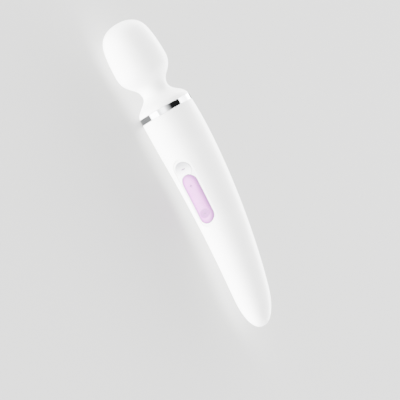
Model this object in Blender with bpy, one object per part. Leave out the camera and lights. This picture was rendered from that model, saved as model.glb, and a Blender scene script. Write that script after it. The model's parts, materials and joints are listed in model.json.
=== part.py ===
"""Cordless wand massager, built piece by piece as it would come apart on a bench.

The wand is designed straight: X is the station along its centre line, measured from the
crown of the head, -Y is the front with the controls, and Z is sideways. Each piece is shaped
and cut there. It is then laid along the real centre line, which is straight through the head
and neck and curves forwards along the handle. Stiff pieces, such as the cells and the circuit
board, are placed unbent. The wand lies on its side, so Z is up.
"""

import math

import bmesh
import bpy
import numpy as np
from mathutils import Matrix, Vector

MM = 0.001

# ---------------------------------------------------------------- driving sizes
LENGTH = 337.5 * MM
HEAD_RADIUS = 27.9 * MM
NECK_RADIUS = 14.24 * MM
SHOULDER_RADIUS = 27.78 * MM
GRIP_RADIUS = 28.4 * MM
TAIL_RADIUS = 18.3 * MM
NECK_STATION = 76.8 * MM
BEND_START = 110.0 * MM
BEND_RADIUS = 577.0 * MM

# Outline knots: station, radius, direction in degrees, and the handles before and after
# the knot as shares of the chord to the next knot.
OUTLINE = (
    (0.0, 0.0, 90.0, 0.0, 0.374),
    (16.15 * MM, HEAD_RADIUS - 3.2 * MM, 16.0, 0.438, 0.2185),
    (47.6 * MM, HEAD_RADIUS, 0.0, 0.4035, 0.557),
    (NECK_STATION, NECK_RADIUS, 0.0, 0.3867, 0.326),
    (96.0 * MM, SHOULDER_RADIUS, -1.1, 0.373, 0.052),
    (121.3 * MM, GRIP_RADIUS, 0.0, 0.647, 0.2328),
    (LENGTH - 36.1 * MM, TAIL_RADIUS, -5.6, 0.2176, 0.3978),
    (LENGTH, 0.0, -90.0, 0.2926, 0.0),
)

GAP = 0.3 * MM                    # between pieces that touch
RUN = 0.1 * MM                    # between the shaft and its bushes
SIDES = 20                        # facets around the large turned pieces
SMALL_SIDES = 12                  # facets around the small ones
FINE_STEP = 6.5 * MM              # ring spacing on the head, neck and tail
COARSE_STEP = 18.0 * MM           # ring spacing on the handle
END_STEP = 3.5 * MM               # ring spacing on the round ends
END_ZONE = 12.0 * MM
SLICE = 14.0 * MM                 # spacing of the cross cuts in the curved panel pieces

HEAD_WALL = 4.0 * MM              # soft cover on the head and shoulder
SKIN_WALL = 1.2 * MM              # soft cover on the handle
SHELL_WALL = 2.2 * MM             # hard handle shells
POD_WALL = 2.0 * MM               # hard motor pod

# Neck
NECK_BALL = 15.5 * MM             # the neck sleeve ends inside this radius about the pivot
NECK_BORE = 10.75 * MM
SPIGOT_OUTER = 7.3 * MM
SPIGOT_INNER = 4.0 * MM
SPIGOT_LENGTH = 6.3 * MM
COVER_FLOOR = 1.2 * MM            # soft cover left beyond the neck joint
SPRING_RADIUS = 8.6 * MM
SPRING_WIRE = 1.0 * MM
SPRING_TURNS = 4

# Motor
POD_FLOOR = 2.5 * MM
MOTOR_START = 20.0 * MM
MOTOR_END = 47.0 * MM
MOTOR_RADIUS = 12.2 * MM
MOTOR_WALL = 1.0 * MM
CAP_THICKNESS = 2.7 * MM
BUSH_RADIUS = 3.0 * MM
SHAFT_RADIUS = 1.5 * MM
SHAFT_START = 11.0 * MM
SHAFT_END = 58.8 * MM
ARMATURE_RADIUS = 8.3 * MM
ARMATURE_START = 26.0 * MM
ARMATURE_END = 40.5 * MM
POLES = 5
MAGNET_RADIUS = 8.8 * MM
FRONT_WEIGHT = (12.6 * MM, 18.0 * MM)
REAR_WEIGHT = (52.6 * MM, 57.1 * MM)
FRONT_WEIGHT_RADIUS = 13.2 * MM
REAR_WEIGHT_RADIUS = 9.3 * MM
WEIGHT_HUB_RADIUS = 4.0 * MM
DAMPER_FRONT = (22.5 * MM, 27.5 * MM)
DAMPER_REAR = (41.0 * MM, 46.0 * MM)
POD_SCREW_STATION = 34.5 * MM
POD_BOSS_RADIUS = 3.0 * MM

# Collar between the neck and the handle
RING_START = 95.5 * MM
RING_END = 101.5 * MM
LEDGE_RADIUS = 26.0 * MM
PLUG_START = 101.0 * MM
PLUG_END = 112.0 * MM
PLUG_WALL = 3.4 * MM
SEAL_STATION = 103.0 * MM
SEAL_RADIUS = 0.9 * MM
RIB_START = 107.0 * MM
RIB_WIDTH = 1.5 * MM
RIB_DEPTH = 1.3 * MM
SHELL_START = 105.0 * MM

# Screws that close the handle: station and sideways place
SHELL_SCREWS = ((118.0 * MM, 17.0 * MM), (118.0 * MM, -17.0 * MM), (236.0 * MM, 0.0),
                (LENGTH - 39.5 * MM, 0.0))
SHELL_BOSS_RADIUS = 4.0 * MM
SCREW_HEAD_RADIUS = 2.6 * MM
SCREW_HEAD_HEIGHT = 1.8 * MM
SCREW_RADIUS = 1.2 * MM
SCREW_SEAT = 10.0 * MM            # from the split plane to the head's seat
SCREW_REACH = 8.0 * MM            # from the split plane to the screw's tip

# Control panel. A depth is measured inwards from the outer surface at the middle line.
PANEL_START = 150.8 * MM
PANEL_END = 225.9 * MM
PANEL_HALF_WIDTH = 10.45 * MM
PANEL_RECESS = 0.6 * MM
FLANGE_HALF_WIDTH = 11.8 * MM
FLANGE_DEPTH = 8.0 * MM
FLANGE_THICKNESS = 1.2 * MM
MEMBRANE_THICKNESS = 0.8 * MM
BUTTON_STATION = 162.7 * MM
BUTTON_RADIUS = 9.35 * MM
BUTTON_DISH = 2.0 * MM
BUTTON_TRAVEL = 0.5 * MM
ROCKER_START = 168.2 * MM
ROCKER_END = 223.0 * MM
ROCKER_HALF_WIDTH = 9.1 * MM
ROCKER_RECESS = 0.35 * MM
ROCKER_LEG = 16.0 * MM
KEY_DEPTH = 5.0 * MM              # underside of the button and the rocker
STEM_RADIUS = 2.2 * MM
STEM_OFFSET = 3.0 * MM            # the button's stem stands off its centre, clear of the rocker
UPPER_DIP = 0.4 * MM
LOWER_DIP = 1.2 * MM
DIP_LENGTH = 12.0 * MM
PIN_DEPTH = 7.2 * MM
PIN_RADIUS = 1.0 * MM
PIN_BOSS_HALF_WIDTH = 6.7 * MM

# Core: everything on the stiff chassis, in a flat frame on the panel's middle
CORE_STATION = 188.4 * MM
BOARD_LENGTH = 74.0 * MM
BOARD_WIDTH = 18.0 * MM
BOARD_THICKNESS = 1.6 * MM
SWITCH_HEIGHT = 1.95 * MM
CELL_RADIUS = 9.2 * MM
CELL_LENGTH = 65.0 * MM
CELL_END = 8.0 * MM               # the cells' lower end, from the core station
CELL_SPREAD = CELL_RADIUS + 0.2 * MM  # each cell's centre from the middle line
CHASSIS_THICKNESS = 1.4 * MM
CHASSIS_HALF_WIDTH = 15.0 * MM
CELL_CLEARANCE = 1.3 * MM         # cell end to chassis wall, with the contact tab between
CELL_WALL = 1.5 * MM
TAB_THICKNESS = 0.4 * MM
POST_RADIUS = 2.4 * MM
POST_SPREAD = 6.3 * MM
POST_OFFSET = 33.0 * MM
BOARD_SCREW_RADIUS = 0.8 * MM
WIRE_RADIUS = 0.7 * MM

# Charging contacts on the back
CHARGE_STATION = LENGTH - 56.5 * MM
CHARGE_HALF_WIDTH = 4.5 * MM
CHARGE_HALF_STRAIGHT = 4.5 * MM
CHARGE_RECESS = 0.9 * MM
CHARGE_FLANGE = 1.5 * MM
CHARGE_GAP = 0.5 * MM
CONTACT_OFFSET = 4.0 * MM
CONTACT_RADIUS = 2.0 * MM

# ---------------------------------------------------------------- materials
# name: linear colour, roughness, metallic
MATERIALS = {
    "white_silicone": ((0.86, 0.86, 0.85), 0.45, 0.0),
    "white_plastic": ((0.80, 0.80, 0.78), 0.35, 0.0),
    "grey_plastic": ((0.22, 0.23, 0.24), 0.45, 0.0),
    "lilac_silicone": ((0.80, 0.63, 0.78), 0.30, 0.0),
    "chrome": ((0.80, 0.80, 0.82), 0.06, 1.0),
    "steel": ((0.55, 0.56, 0.58), 0.30, 1.0),
    "brass": ((0.72, 0.52, 0.22), 0.30, 1.0),
    "copper": ((0.72, 0.36, 0.20), 0.35, 1.0),
    "bronze": ((0.50, 0.33, 0.18), 0.40, 1.0),
    "magnet": ((0.10, 0.10, 0.11), 0.50, 0.6),
    "black_rubber": ((0.03, 0.03, 0.03), 0.70, 0.0),
    "circuit_board": ((0.02, 0.14, 0.07), 0.40, 0.0),
    "cell_wrap": ((0.05, 0.20, 0.45), 0.30, 0.0),
    "red_wire": ((0.50, 0.03, 0.02), 0.45, 0.0),
}


def make_material(name):
    colour, roughness, metallic = MATERIALS[name]
    material = bpy.data.materials.get(name) or bpy.data.materials.new(name)
    material.use_nodes = True
    material.diffuse_color = (*colour, 1.0)
    shader = material.node_tree.nodes["Principled BSDF"]
    shader.inputs["Base Color"].default_value = (*colour, 1.0)
    shader.inputs["Roughness"].default_value = roughness
    shader.inputs["Metallic"].default_value = metallic
    return material


# ---------------------------------------------------------------- outline
def sample_outline(samples=60):
    """Dense points of the outline and their outward normals, as two arrays."""
    points, normals = [], []
    for first, last in zip(OUTLINE, OUTLINE[1:]):
        start = np.array(first[:2])
        end = np.array(last[:2])
        chord = np.linalg.norm(end - start)
        leave = np.array([math.cos(math.radians(first[2])), math.sin(math.radians(first[2]))])
        arrive = np.array([math.cos(math.radians(last[2])), math.sin(math.radians(last[2]))])
        one = start + first[4] * chord * leave
        two = end - last[3] * chord * arrive
        t = np.linspace(0.0, 1.0, samples)[:, None]
        point = ((1 - t) ** 3 * start + 3 * (1 - t) ** 2 * t * one
                 + 3 * (1 - t) * t ** 2 * two + t ** 3 * end)
        slope = ((1 - t) ** 2 * (one - start) + 2 * (1 - t) * t * (two - one)
                 + t ** 2 * (end - two))
        slope = slope / np.linalg.norm(slope, axis=1)[:, None]
        normal = np.column_stack((-slope[:, 1], slope[:, 0]))
        skip = 1 if points else 0
        points.append(point[skip:])
        normals.append(normal[skip:])
    return np.vstack(points), np.vstack(normals)


POINTS, NORMALS = sample_outline()


def ring_places():
    """Indices of the outline points that every turned skin shares as its rings."""
    places = [0]
    travelled = 0.0
    for index in range(1, len(POINTS)):
        travelled += float(np.linalg.norm(POINTS[index] - POINTS[index - 1]))
        station = POINTS[index, 0]
        step = FINE_STEP
        if SHELL_START + FINE_STEP < station < OUTLINE[-2][0]:
            step = COARSE_STEP
        elif station > LENGTH - END_ZONE or station < END_ZONE / 2.0:
            step = END_STEP
        if travelled >= step:
            places.append(index)
            travelled = 0.0
    return places


RINGS = ring_places()


def radius_at(station, inset=0.0):
    """Radius of the outline, moved inwards by inset along its normals."""
    moved = POINTS - inset * NORMALS
    return float(np.interp(station, moved[:, 0], moved[:, 1]))


def surface_line(inset, start=None, end=None):
    """Outline moved inwards by inset, between two stations. None means up to the axis."""
    moved = POINTS - inset * NORMALS
    low = inset if start is None else start
    high = LENGTH - inset if end is None else end
    line = [(low, 0.0 if start is None else radius_at(low, inset))]
    margin = END_STEP * 0.4
    for index in RINGS:
        station, radius = moved[index]
        if low + margin < station < high - margin and radius > margin:
            line.append((float(station), float(radius)))
    line.append((high, 0.0 if end is None else radius_at(high, inset)))
    return line


def ball_station(ball, side):
    """Station where the outline enters a ball about the neck pivot; side -1 is the head's."""
    distance = np.hypot(POINTS[:, 0] - NECK_STATION, POINTS[:, 1])
    near = np.abs(POINTS[:, 0] - NECK_STATION) < ball
    chosen = near & (np.sign(POINTS[:, 0] - NECK_STATION) == side)
    order = np.argsort(distance[chosen])
    return float(np.interp(ball, distance[chosen][order], POINTS[chosen, 0][order]))


def ball_arc(ball, side, count=5):
    """Points on a ball about the neck pivot, from the outline down to the neck's bore."""
    outer = math.asin(radius_at(ball_station(ball, side)) / ball)
    inner = math.asin(NECK_BORE / ball)
    return [(NECK_STATION + side * ball * math.cos(angle), ball * math.sin(angle))
            for angle in np.linspace(outer, inner, count)]


# ---------------------------------------------------------------- solids
def object_from(name, shape):
    """Wrap a bmesh as an object, with its faces pointing out."""
    bmesh.ops.recalc_face_normals(shape, faces=shape.faces)
    mesh = bpy.data.meshes.new(name)
    shape.to_mesh(mesh)
    shape.free()
    thing = bpy.data.objects.new(name, mesh)
    bpy.context.scene.collection.objects.link(thing)
    return thing


def turned(name, outline, sides=SIDES, centre=(0.0, 0.0)):
    """Solid turned about an axis along X from (station, radius) points.

    An outline that starts and ends on the axis is open there; any other is closed.
    """
    shape = bmesh.new()
    cross, up = centre
    ring = [shape.verts.new((station, cross - radius, up)) for station, radius in outline]
    edges = [shape.edges.new(pair) for pair in zip(ring, ring[1:])]
    if outline[0][1] > 0.0 or outline[-1][1] > 0.0:
        edges.append(shape.edges.new((ring[-1], ring[0])))
    bmesh.ops.spin(shape, geom=ring + edges, cent=(0.0, cross, up), axis=(1.0, 0.0, 0.0),
                   angle=2.0 * math.pi, steps=sides, use_duplicate=False)
    bmesh.ops.remove_doubles(shape, verts=shape.verts, dist=0.005 * MM)
    bmesh.ops.dissolve_degenerate(shape, edges=shape.edges, dist=0.001 * MM)
    return object_from(name, shape)


def extruded(name, outlines, axis, low, high):
    """Closed outlines pushed along an axis; a point's two numbers are the other two axes."""
    shape = bmesh.new()
    order = {"X": (2, 0, 1), "Y": (0, 2, 1), "Z": (0, 1, 2)}[axis]
    for outline in outlines:
        layers = []
        for height in (low, high):
            corners = [(a, b, height) for a, b in outline]
            layers.append([shape.verts.new([corner[i] for i in order]) for corner in corners])
        shape.faces.new(layers[0])
        shape.faces.new(layers[1][::-1])
        bridge(shape, layers[0], layers[1])
    return object_from(name, shape)


def bridge(shape, one, two):
    """Quads between two rings of the same number of points."""
    for i in range(len(one)):
        j = (i + 1) % len(one)
        shape.faces.new((one[i], two[i], two[j], one[j]))


def lofted(name, rings):
    """Solid through a stack of rings, closed flat at both ends."""
    shape = bmesh.new()
    layers = [[shape.verts.new(point) for point in ring] for ring in rings]
    shape.faces.new(layers[0])
    shape.faces.new(layers[-1][::-1])
    for one, two in zip(layers, layers[1:]):
        bridge(shape, one, two)
    return object_from(name, shape)


def blocks(name, boxes):
    """Boxes given by two opposite corners each."""
    shape = bmesh.new()
    for low, high in boxes:
        size = Vector(high) - Vector(low)
        middle = (Vector(high) + Vector(low)) / 2.0
        place = Matrix.Translation(middle) @ Matrix.Diagonal((*[abs(x) for x in size], 1.0))
        bmesh.ops.create_cube(shape, size=1.0, matrix=place)
    return object_from(name, shape)


def circle(radius, sides=SMALL_SIDES, centre=(0.0, 0.0)):
    step = 2.0 * math.pi / sides
    return [(centre[0] + radius * math.cos(i * step), centre[1] + radius * math.sin(i * step))
            for i in range(sides)]


def rods(name, circles, axis, low, high):
    """Straight round bars; circles holds (radius, first place, second place) for each."""
    outlines = [circle(radius, centre=(a, b)) for radius, a, b in circles]
    return extruded(name, outlines, axis, low, high)


def screw(name, axis, place, head, shank):
    """Screw along an axis; head and shank are each (radius, low end, high end)."""
    thing = rods(name, [(head[0], *place)], axis, head[1], head[2])
    return join(thing, rods("shank", [(shank[0], *place)], axis, shank[1], shank[2]))


def stadium(start, end, half_width, arc_points=8, straight_points=4):
    """Outline with round ends between two stations, as (station, sideways) points."""
    first = start + half_width
    last = end - half_width
    outline = []
    for i in range(arc_points + 1):
        angle = -math.pi / 2.0 + math.pi * i / arc_points
        outline.append((last + half_width * math.cos(angle), half_width * math.sin(angle)))
    for i in range(1, straight_points):
        outline.append((last + (first - last) * i / straight_points, half_width))
    for i in range(arc_points + 1):
        angle = math.pi / 2.0 + math.pi * i / arc_points
        outline.append((first + half_width * math.cos(angle), half_width * math.sin(angle)))
    for i in range(1, straight_points):
        outline.append((first + (last - first) * i / straight_points, -half_width))
    return outline


def swept(name, lines, radius):
    """Round bars along lines of points, one solid for each line."""
    curve = bpy.data.curves.new(name, "CURVE")
    curve.dimensions = "3D"
    curve.bevel_depth = radius
    curve.bevel_resolution = 1
    curve.use_fill_caps = True
    for line in lines:
        spline = curve.splines.new("POLY")
        spline.points.add(len(line) - 1)
        for slot, point in zip(spline.points, line):
            slot.co = (*point, 1.0)
    guide = bpy.data.objects.new("guide", curve)
    bpy.context.scene.collection.objects.link(guide)
    thing = bpy.data.objects.new(name, shown_mesh(guide))
    bpy.context.scene.collection.objects.link(thing)
    bpy.data.objects.remove(guide)
    return thing


def twin_wire(name, routes, radius):
    """Two wires that run side by side, joined where they touch, on smooth curves."""
    one, two = [swept(name, [smooth_route(route)], radius) for route in routes]
    return join(one, two)


def smooth_route(route, steps=2):
    """Catmull-Rom curve through hand-placed points."""
    knots = [Vector(point) for point in route]
    knots = [2.0 * knots[0] - knots[1]] + knots + [2.0 * knots[-1] - knots[-2]]
    points = []
    for a, b, c, d in zip(knots, knots[1:], knots[2:], knots[3:]):
        for i in range(steps):
            t = i / steps
            points.append(0.5 * (2.0 * b + (c - a) * t + (2.0 * a - 5.0 * b + 4.0 * c - d) * t ** 2
                                 + (3.0 * b - a - 3.0 * c + d) * t ** 3))
    points.append(knots[-2])
    return points


def boolean(thing, tool, operation):
    """Cut, join or trim an object by another, which is used up."""
    modifier = thing.modifiers.new(operation.lower(), "BOOLEAN")
    modifier.operation = operation
    modifier.solver = "EXACT"
    modifier.object = tool
    bake(thing)
    bpy.data.objects.remove(tool)
    return thing


def cut(thing, tool):
    return boolean(thing, tool, "DIFFERENCE")


def join(thing, tool):
    return boolean(thing, tool, "UNION")


def shown_mesh(thing):
    """The mesh that an object shows, with its modifiers and bevels."""
    graph = bpy.context.evaluated_depsgraph_get()
    return bpy.data.meshes.new_from_object(thing.evaluated_get(graph))


def bake(thing):
    """Replace an object's mesh by the one that it shows."""
    mesh = shown_mesh(thing)
    thing.modifiers.clear()
    thing.data = mesh


def copy_of(thing, name):
    twin = bpy.data.objects.new(name, thing.data.copy())
    bpy.context.scene.collection.objects.link(twin)
    return twin


# ---------------------------------------------------------------- placing
def lay(point):
    """From the straight design to the bent wand: the centre line is an arc of BEND_RADIUS."""
    turn = max(point[0] - BEND_START, 0.0) / BEND_RADIUS
    along = min(point[0], BEND_START) + (BEND_RADIUS + point[1]) * math.sin(turn)
    across = (BEND_RADIUS + point[1]) * math.cos(turn) - BEND_RADIUS
    return Vector((along, across, point[2]))


def lay_panel(point):
    """As lay, for a piece whose Y is its depth below the front surface's middle line."""
    return lay((point[0], point[1] - radius_at(point[0]), point[2]))


def stiff_frame(station, side):
    """Flat frame on the front (side -1) or back (side 1) surface, its Y square to it."""
    turn = max(station - BEND_START, 0.0) / BEND_RADIUS
    reach = 5.0 * MM
    rise = side * (radius_at(station + reach) - radius_at(station - reach))
    slope = math.atan2(rise, 2.0 * reach)
    place = Matrix.Translation(lay((station, side * radius_at(station), 0.0)))
    return place @ Matrix.Rotation(slope - turn, 4, "Z")


CORE = stiff_frame(CORE_STATION, -1.0)
CHARGER = stiff_frame(CHARGE_STATION, 1.0)


def slice_across(shape):
    """Cross cuts along a piece, so that its flat faces can follow the handle's curve."""
    stations = [vert.co.x for vert in shape.verts]
    place = math.ceil(min(stations) / SLICE) * SLICE
    while place < max(stations):
        bmesh.ops.bisect_plane(shape, geom=shape.verts[:] + shape.edges[:] + shape.faces[:],
                               plane_co=(place, 0.0, 0.0), plane_no=(1.0, 0.0, 0.0),
                               dist=0.08 * MM)
        place += SLICE


def finish(thing, material, parent, place):
    """Bake a piece, carry it to its place and hang it on its parent empty.

    place is lay, lay_panel or a stiff frame's matrix.
    """
    bake(thing)
    shape = bmesh.new()
    shape.from_mesh(thing.data)
    bmesh.ops.remove_doubles(shape, verts=shape.verts, dist=0.0002 * MM)
    if place is lay_panel:
        slice_across(shape)
    bmesh.ops.triangulate(shape, faces=shape.faces)
    origin = parent.matrix_world.translation - WAND.location
    for vert in shape.verts:
        vert.co = (place(vert.co) if callable(place) else place @ vert.co) - origin
    bmesh.ops.recalc_face_normals(shape, faces=shape.faces)
    mesh = bpy.data.meshes.new(thing.name)
    shape.to_mesh(mesh)
    shape.free()
    mesh.materials.append(make_material(material))
    mesh.shade_smooth()
    mesh.set_sharp_from_angle(angle=math.radians(35.0))
    solid = bpy.data.objects.new(thing.name, mesh)
    name = thing.name
    bpy.data.objects.remove(thing)
    solid.name = name
    solid.parent = parent
    bpy.context.scene.collection.objects.link(solid)
    NODES.append(solid)
    return solid


def empty(name, location, parent=None):
    marker = bpy.data.objects.new(name, None)
    marker.empty_display_size = 10.0 * MM
    marker.parent = parent
    marker.location = location
    bpy.context.scene.collection.objects.link(marker)
    bpy.context.view_layer.update()
    return marker


# ---------------------------------------------------------------- head
def pod_limits():
    """Stations of the pod floor's inner face, outer face and the spigot's end."""
    outer = ball_arc(NECK_BALL + GAP, -1)[-1][0] - COVER_FLOOR - GAP
    return outer - POD_FLOOR, outer, outer + SPIGOT_LENGTH


def make_head_sleeve():
    arc = ball_arc(NECK_BALL + GAP, -1)
    floor = arc[-1][0] - COVER_FLOOR
    outer = surface_line(0.0, None, arc[0][0])
    inner = surface_line(HEAD_WALL, None, floor)
    outline = outer + arc[1:] + [(floor, NECK_BORE)] + inner[::-1]
    finish(turned("head_sleeve", outline), "white_silicone", HEAD, lay)


def make_pod():
    floor, face, tip = pod_limits()
    inset = HEAD_WALL + GAP
    outer = surface_line(inset, None, face)
    outline = outer + [(face, SPIGOT_OUTER), (tip, SPIGOT_OUTER), (tip, 0.0)]
    cavity_line = surface_line(inset + POD_WALL, None, floor)
    bore = [(floor, SPIGOT_INNER), (tip + GAP, SPIGOT_INNER), (tip + GAP, 0.0)]
    pod = turned("pod", outline)
    cavity = turned("cavity", cavity_line + bore)
    spread = pod_boss_spread()
    places = [(POD_SCREW_STATION, spread), (POD_SCREW_STATION, -spread)]
    posts = [(POD_BOSS_RADIUS, *place) for place in places]
    cut(cavity, rods("posts", posts, "Z", -HEAD_RADIUS, HEAD_RADIUS))
    cut(pod, cavity)
    seat = pod_screw_seat()
    shank = [(SCREW_RADIUS + GAP, *place) for place in places]
    heads = [(SCREW_HEAD_RADIUS - GAP, *place) for place in places]
    cut(pod, rods("holes", shank, "Z", -seat, seat + GAP))
    cut(pod, rods("seats", heads, "Z", seat, HEAD_RADIUS))
    reach = LENGTH / 3.0
    for name, side in (("motor_pod_left", 1.0), ("motor_pod_right", -1.0)):
        half = copy_of(pod, name)
        keep = blocks("keep", [((-reach, -reach, side * GAP / 2.0), (reach, reach, side * reach))])
        boolean(half, keep, "INTERSECT")
        finish(half, "white_plastic", HEAD, lay)
    bpy.data.objects.remove(pod)
    for number, place in enumerate(places, 1):
        top = seat + GAP
        head = (SCREW_HEAD_RADIUS - 2.0 * GAP, top, top + 1.5 * MM)
        shank = (SCREW_RADIUS, 1.0 * MM - seat, top + 0.5 * MM)
        finish(screw(f"motor_pod_screw_{number}", "Z", place, head, shank), "steel", HEAD, lay)


def pod_boss_spread():
    """The pod's screws stand between the motor and the pod's wall."""
    cavity = radius_at(POD_SCREW_STATION, HEAD_WALL + GAP + POD_WALL)
    return (MOTOR_RADIUS + cavity) / 2.0 - 0.5 * MM


def pod_screw_seat():
    cavity = radius_at(POD_SCREW_STATION, HEAD_WALL + GAP + POD_WALL)
    return math.sqrt(cavity ** 2 - pod_boss_spread() ** 2) - 3.0 * MM


def make_motor():
    bore = BUSH_RADIUS + GAP
    inner = MOTOR_RADIUS - MOTOR_WALL
    front = MOTOR_START + MOTOR_WALL
    chamfer = 0.6 * MM
    can = [(MOTOR_START, bore), (MOTOR_START, MOTOR_RADIUS - chamfer),
           (MOTOR_START + chamfer, MOTOR_RADIUS), (MOTOR_END, MOTOR_RADIUS),
           (MOTOR_END, inner), (front, inner), (front, bore)]
    finish(turned("motor_can", can), "steel", HEAD, lay)
    cap_start = MOTOR_END + GAP
    cap_end = cap_start + CAP_THICKNESS
    cap = [(cap_start, bore), (cap_start, MOTOR_RADIUS), (cap_end - chamfer, MOTOR_RADIUS),
           (cap_end, MOTOR_RADIUS - chamfer), (cap_end, bore)]
    finish(turned("motor_end_cap", cap), "grey_plastic", HEAD, lay)

    for name, start, end in (("motor_bush_front", MOTOR_START - 1.2 * MM, front + 0.8 * MM),
                             ("motor_bush_rear", cap_start - 0.4 * MM, cap_end + 0.6 * MM)):
        ring = [(start, SHAFT_RADIUS + RUN), (start, BUSH_RADIUS), (end, BUSH_RADIUS),
                (end, SHAFT_RADIUS + RUN)]
        finish(turned(name, ring, SMALL_SIDES), "bronze", HEAD, lay)

    for number, middle in enumerate((0.0, math.pi), 1):
        sweep = np.radians(np.linspace(-58.0, 58.0, 9)) + middle
        back = inner - GAP
        arc = [(-back * math.cos(a), back * math.sin(a)) for a in sweep]
        arc += [(-MAGNET_RADIUS * math.cos(a), MAGNET_RADIUS * math.sin(a)) for a in sweep[::-1]]
        magnet = extruded(f"motor_magnet_{number}", [arc], "X", ARMATURE_START - 1.0 * MM,
                          ARMATURE_END + 1.5 * MM)
        finish(magnet, "magnet", HEAD, lay)

    half = 1.1 * MM
    for number, side in enumerate((-1.0, 1.0), 1):
        low = (cap_end + GAP, -half, side * (MOTOR_RADIUS - 1.6 * MM))
        high = (cap_end + 3.2 * MM, half, side * (MOTOR_RADIUS - 2.3 * MM))
        finish(blocks(f"motor_terminal_{number}", [(low, high)]), "brass", HEAD, lay)

    inset = HEAD_WALL + GAP + POD_WALL + GAP
    for name, (start, end) in (("motor_damper_front", DAMPER_FRONT),
                               ("motor_damper_rear", DAMPER_REAR)):
        ring = surface_line(inset, start, end)
        ring += [(end, MOTOR_RADIUS + GAP), (start, MOTOR_RADIUS + GAP)]
        finish(turned(name, ring), "black_rubber", HEAD, lay)


def commutator_radius():
    return SHAFT_RADIUS + 1.5 * MM


def make_rotor():
    shaft = [(SHAFT_START, 0.0), (SHAFT_START, SHAFT_RADIUS), (SHAFT_END, SHAFT_RADIUS),
             (SHAFT_END, 0.0)]
    finish(turned("motor_shaft", shaft, SMALL_SIDES), "steel", ROTOR, lay)
    bore = SHAFT_RADIUS + GAP

    stack = []
    pitch = 2.0 * math.pi / POLES
    web = bore + 2.0 * MM
    for pole in range(POLES):
        middle = pole * pitch
        for offset in (-0.36, -0.18, 0.0, 0.18, 0.36):
            angle = middle + offset * pitch
            stack.append((ARMATURE_RADIUS * math.cos(angle), ARMATURE_RADIUS * math.sin(angle)))
        for offset in (0.38, 0.62):
            angle = middle + offset * pitch
            stack.append((web * math.cos(angle), web * math.sin(angle)))
    armature = extruded("armature", [stack], "X", ARMATURE_START, ARMATURE_END)
    cut(armature, rods("bore", [(bore, 0.0, 0.0)], "X", ARMATURE_START - GAP, ARMATURE_END + GAP))
    finish(armature, "steel", ROTOR, lay)

    turn = 1.5 * MM
    ends = (ARMATURE_START - GAP - turn, ARMATURE_END + GAP)
    windings = None
    for start in ends:
        ring = [(start, bore + 0.5 * MM), (start, ARMATURE_RADIUS - 1.2 * MM),
                (start + turn, ARMATURE_RADIUS - 0.6 * MM), (start + turn, bore + 0.5 * MM)]
        coil = turned("armature_windings", ring, SMALL_SIDES)
        windings = join(windings, coil) if windings else coil
    bars = []
    half = 0.45 * MM
    for pole in range(POLES):
        turned_by = Matrix.Rotation((pole + 0.5) * pitch, 2)
        corners = [(web + MM, -half), (ARMATURE_RADIUS - 1.5 * MM, -half),
                   (ARMATURE_RADIUS - 1.5 * MM, half), (web + MM, half)]
        bars.append([tuple(turned_by @ Vector(corner)) for corner in corners])
    join(windings, extruded("bars", bars, "X", ends[0] + turn / 2.0, ends[1] + turn / 2.0))
    finish(windings, "copper", ROTOR, lay)

    middle = ARMATURE_END + 4.7 * MM
    ring = [(middle - turn, bore), (middle - turn, commutator_radius()),
            (middle + turn, commutator_radius()), (middle + turn, bore)]
    finish(turned("commutator", ring, SMALL_SIDES), "copper", ROTOR, lay)

    for name, (start, end), radius in (
            ("eccentric_weight_front", FRONT_WEIGHT, FRONT_WEIGHT_RADIUS),
            ("eccentric_weight_rear", REAR_WEIGHT, REAR_WEIGHT_RADIUS)):
        lobe = [(-radius * math.cos(a), radius * math.sin(a))
                for a in np.radians(np.linspace(-80.0, 80.0, 13))]
        hub = [(-WEIGHT_HUB_RADIUS * math.cos(a), WEIGHT_HUB_RADIUS * math.sin(a))
               for a in np.radians(np.linspace(95.0, 265.0, 9))]
        weight = extruded(name, [lobe + hub], "X", start, end)
        cut(weight, rods("bore", [(bore, 0.0, 0.0)], "X", start - GAP, end + GAP))
        finish(weight, "brass", ROTOR, lay)


# ---------------------------------------------------------------- neck
def make_neck():
    head_side = ball_arc(NECK_BALL, -1)
    tail_side = ball_arc(NECK_BALL, 1)
    outer = surface_line(0.0, head_side[0][0], tail_side[0][0])
    outline = outer[:-1] + tail_side + head_side[::-1][:-1]
    finish(turned("neck_sleeve", outline), "white_silicone", NECK, lay)

    _, face, _ = pod_limits()
    start = face + 2.0 * GAP + SPRING_WIRE
    end = flange_face() - 2.0 * GAP - SPRING_WIRE
    steps = 10 * SPRING_TURNS
    line = []
    for i in range(steps + 1):
        angle = 2.0 * math.pi * SPRING_TURNS * i / steps
        station = start + (end - start) * i / steps
        line.append((station, -SPRING_RADIUS * math.cos(angle), SPRING_RADIUS * math.sin(angle)))
    spring = swept("neck_spring", [line], SPRING_WIRE)
    finish(spring, "steel", NECK, lay)


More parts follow.
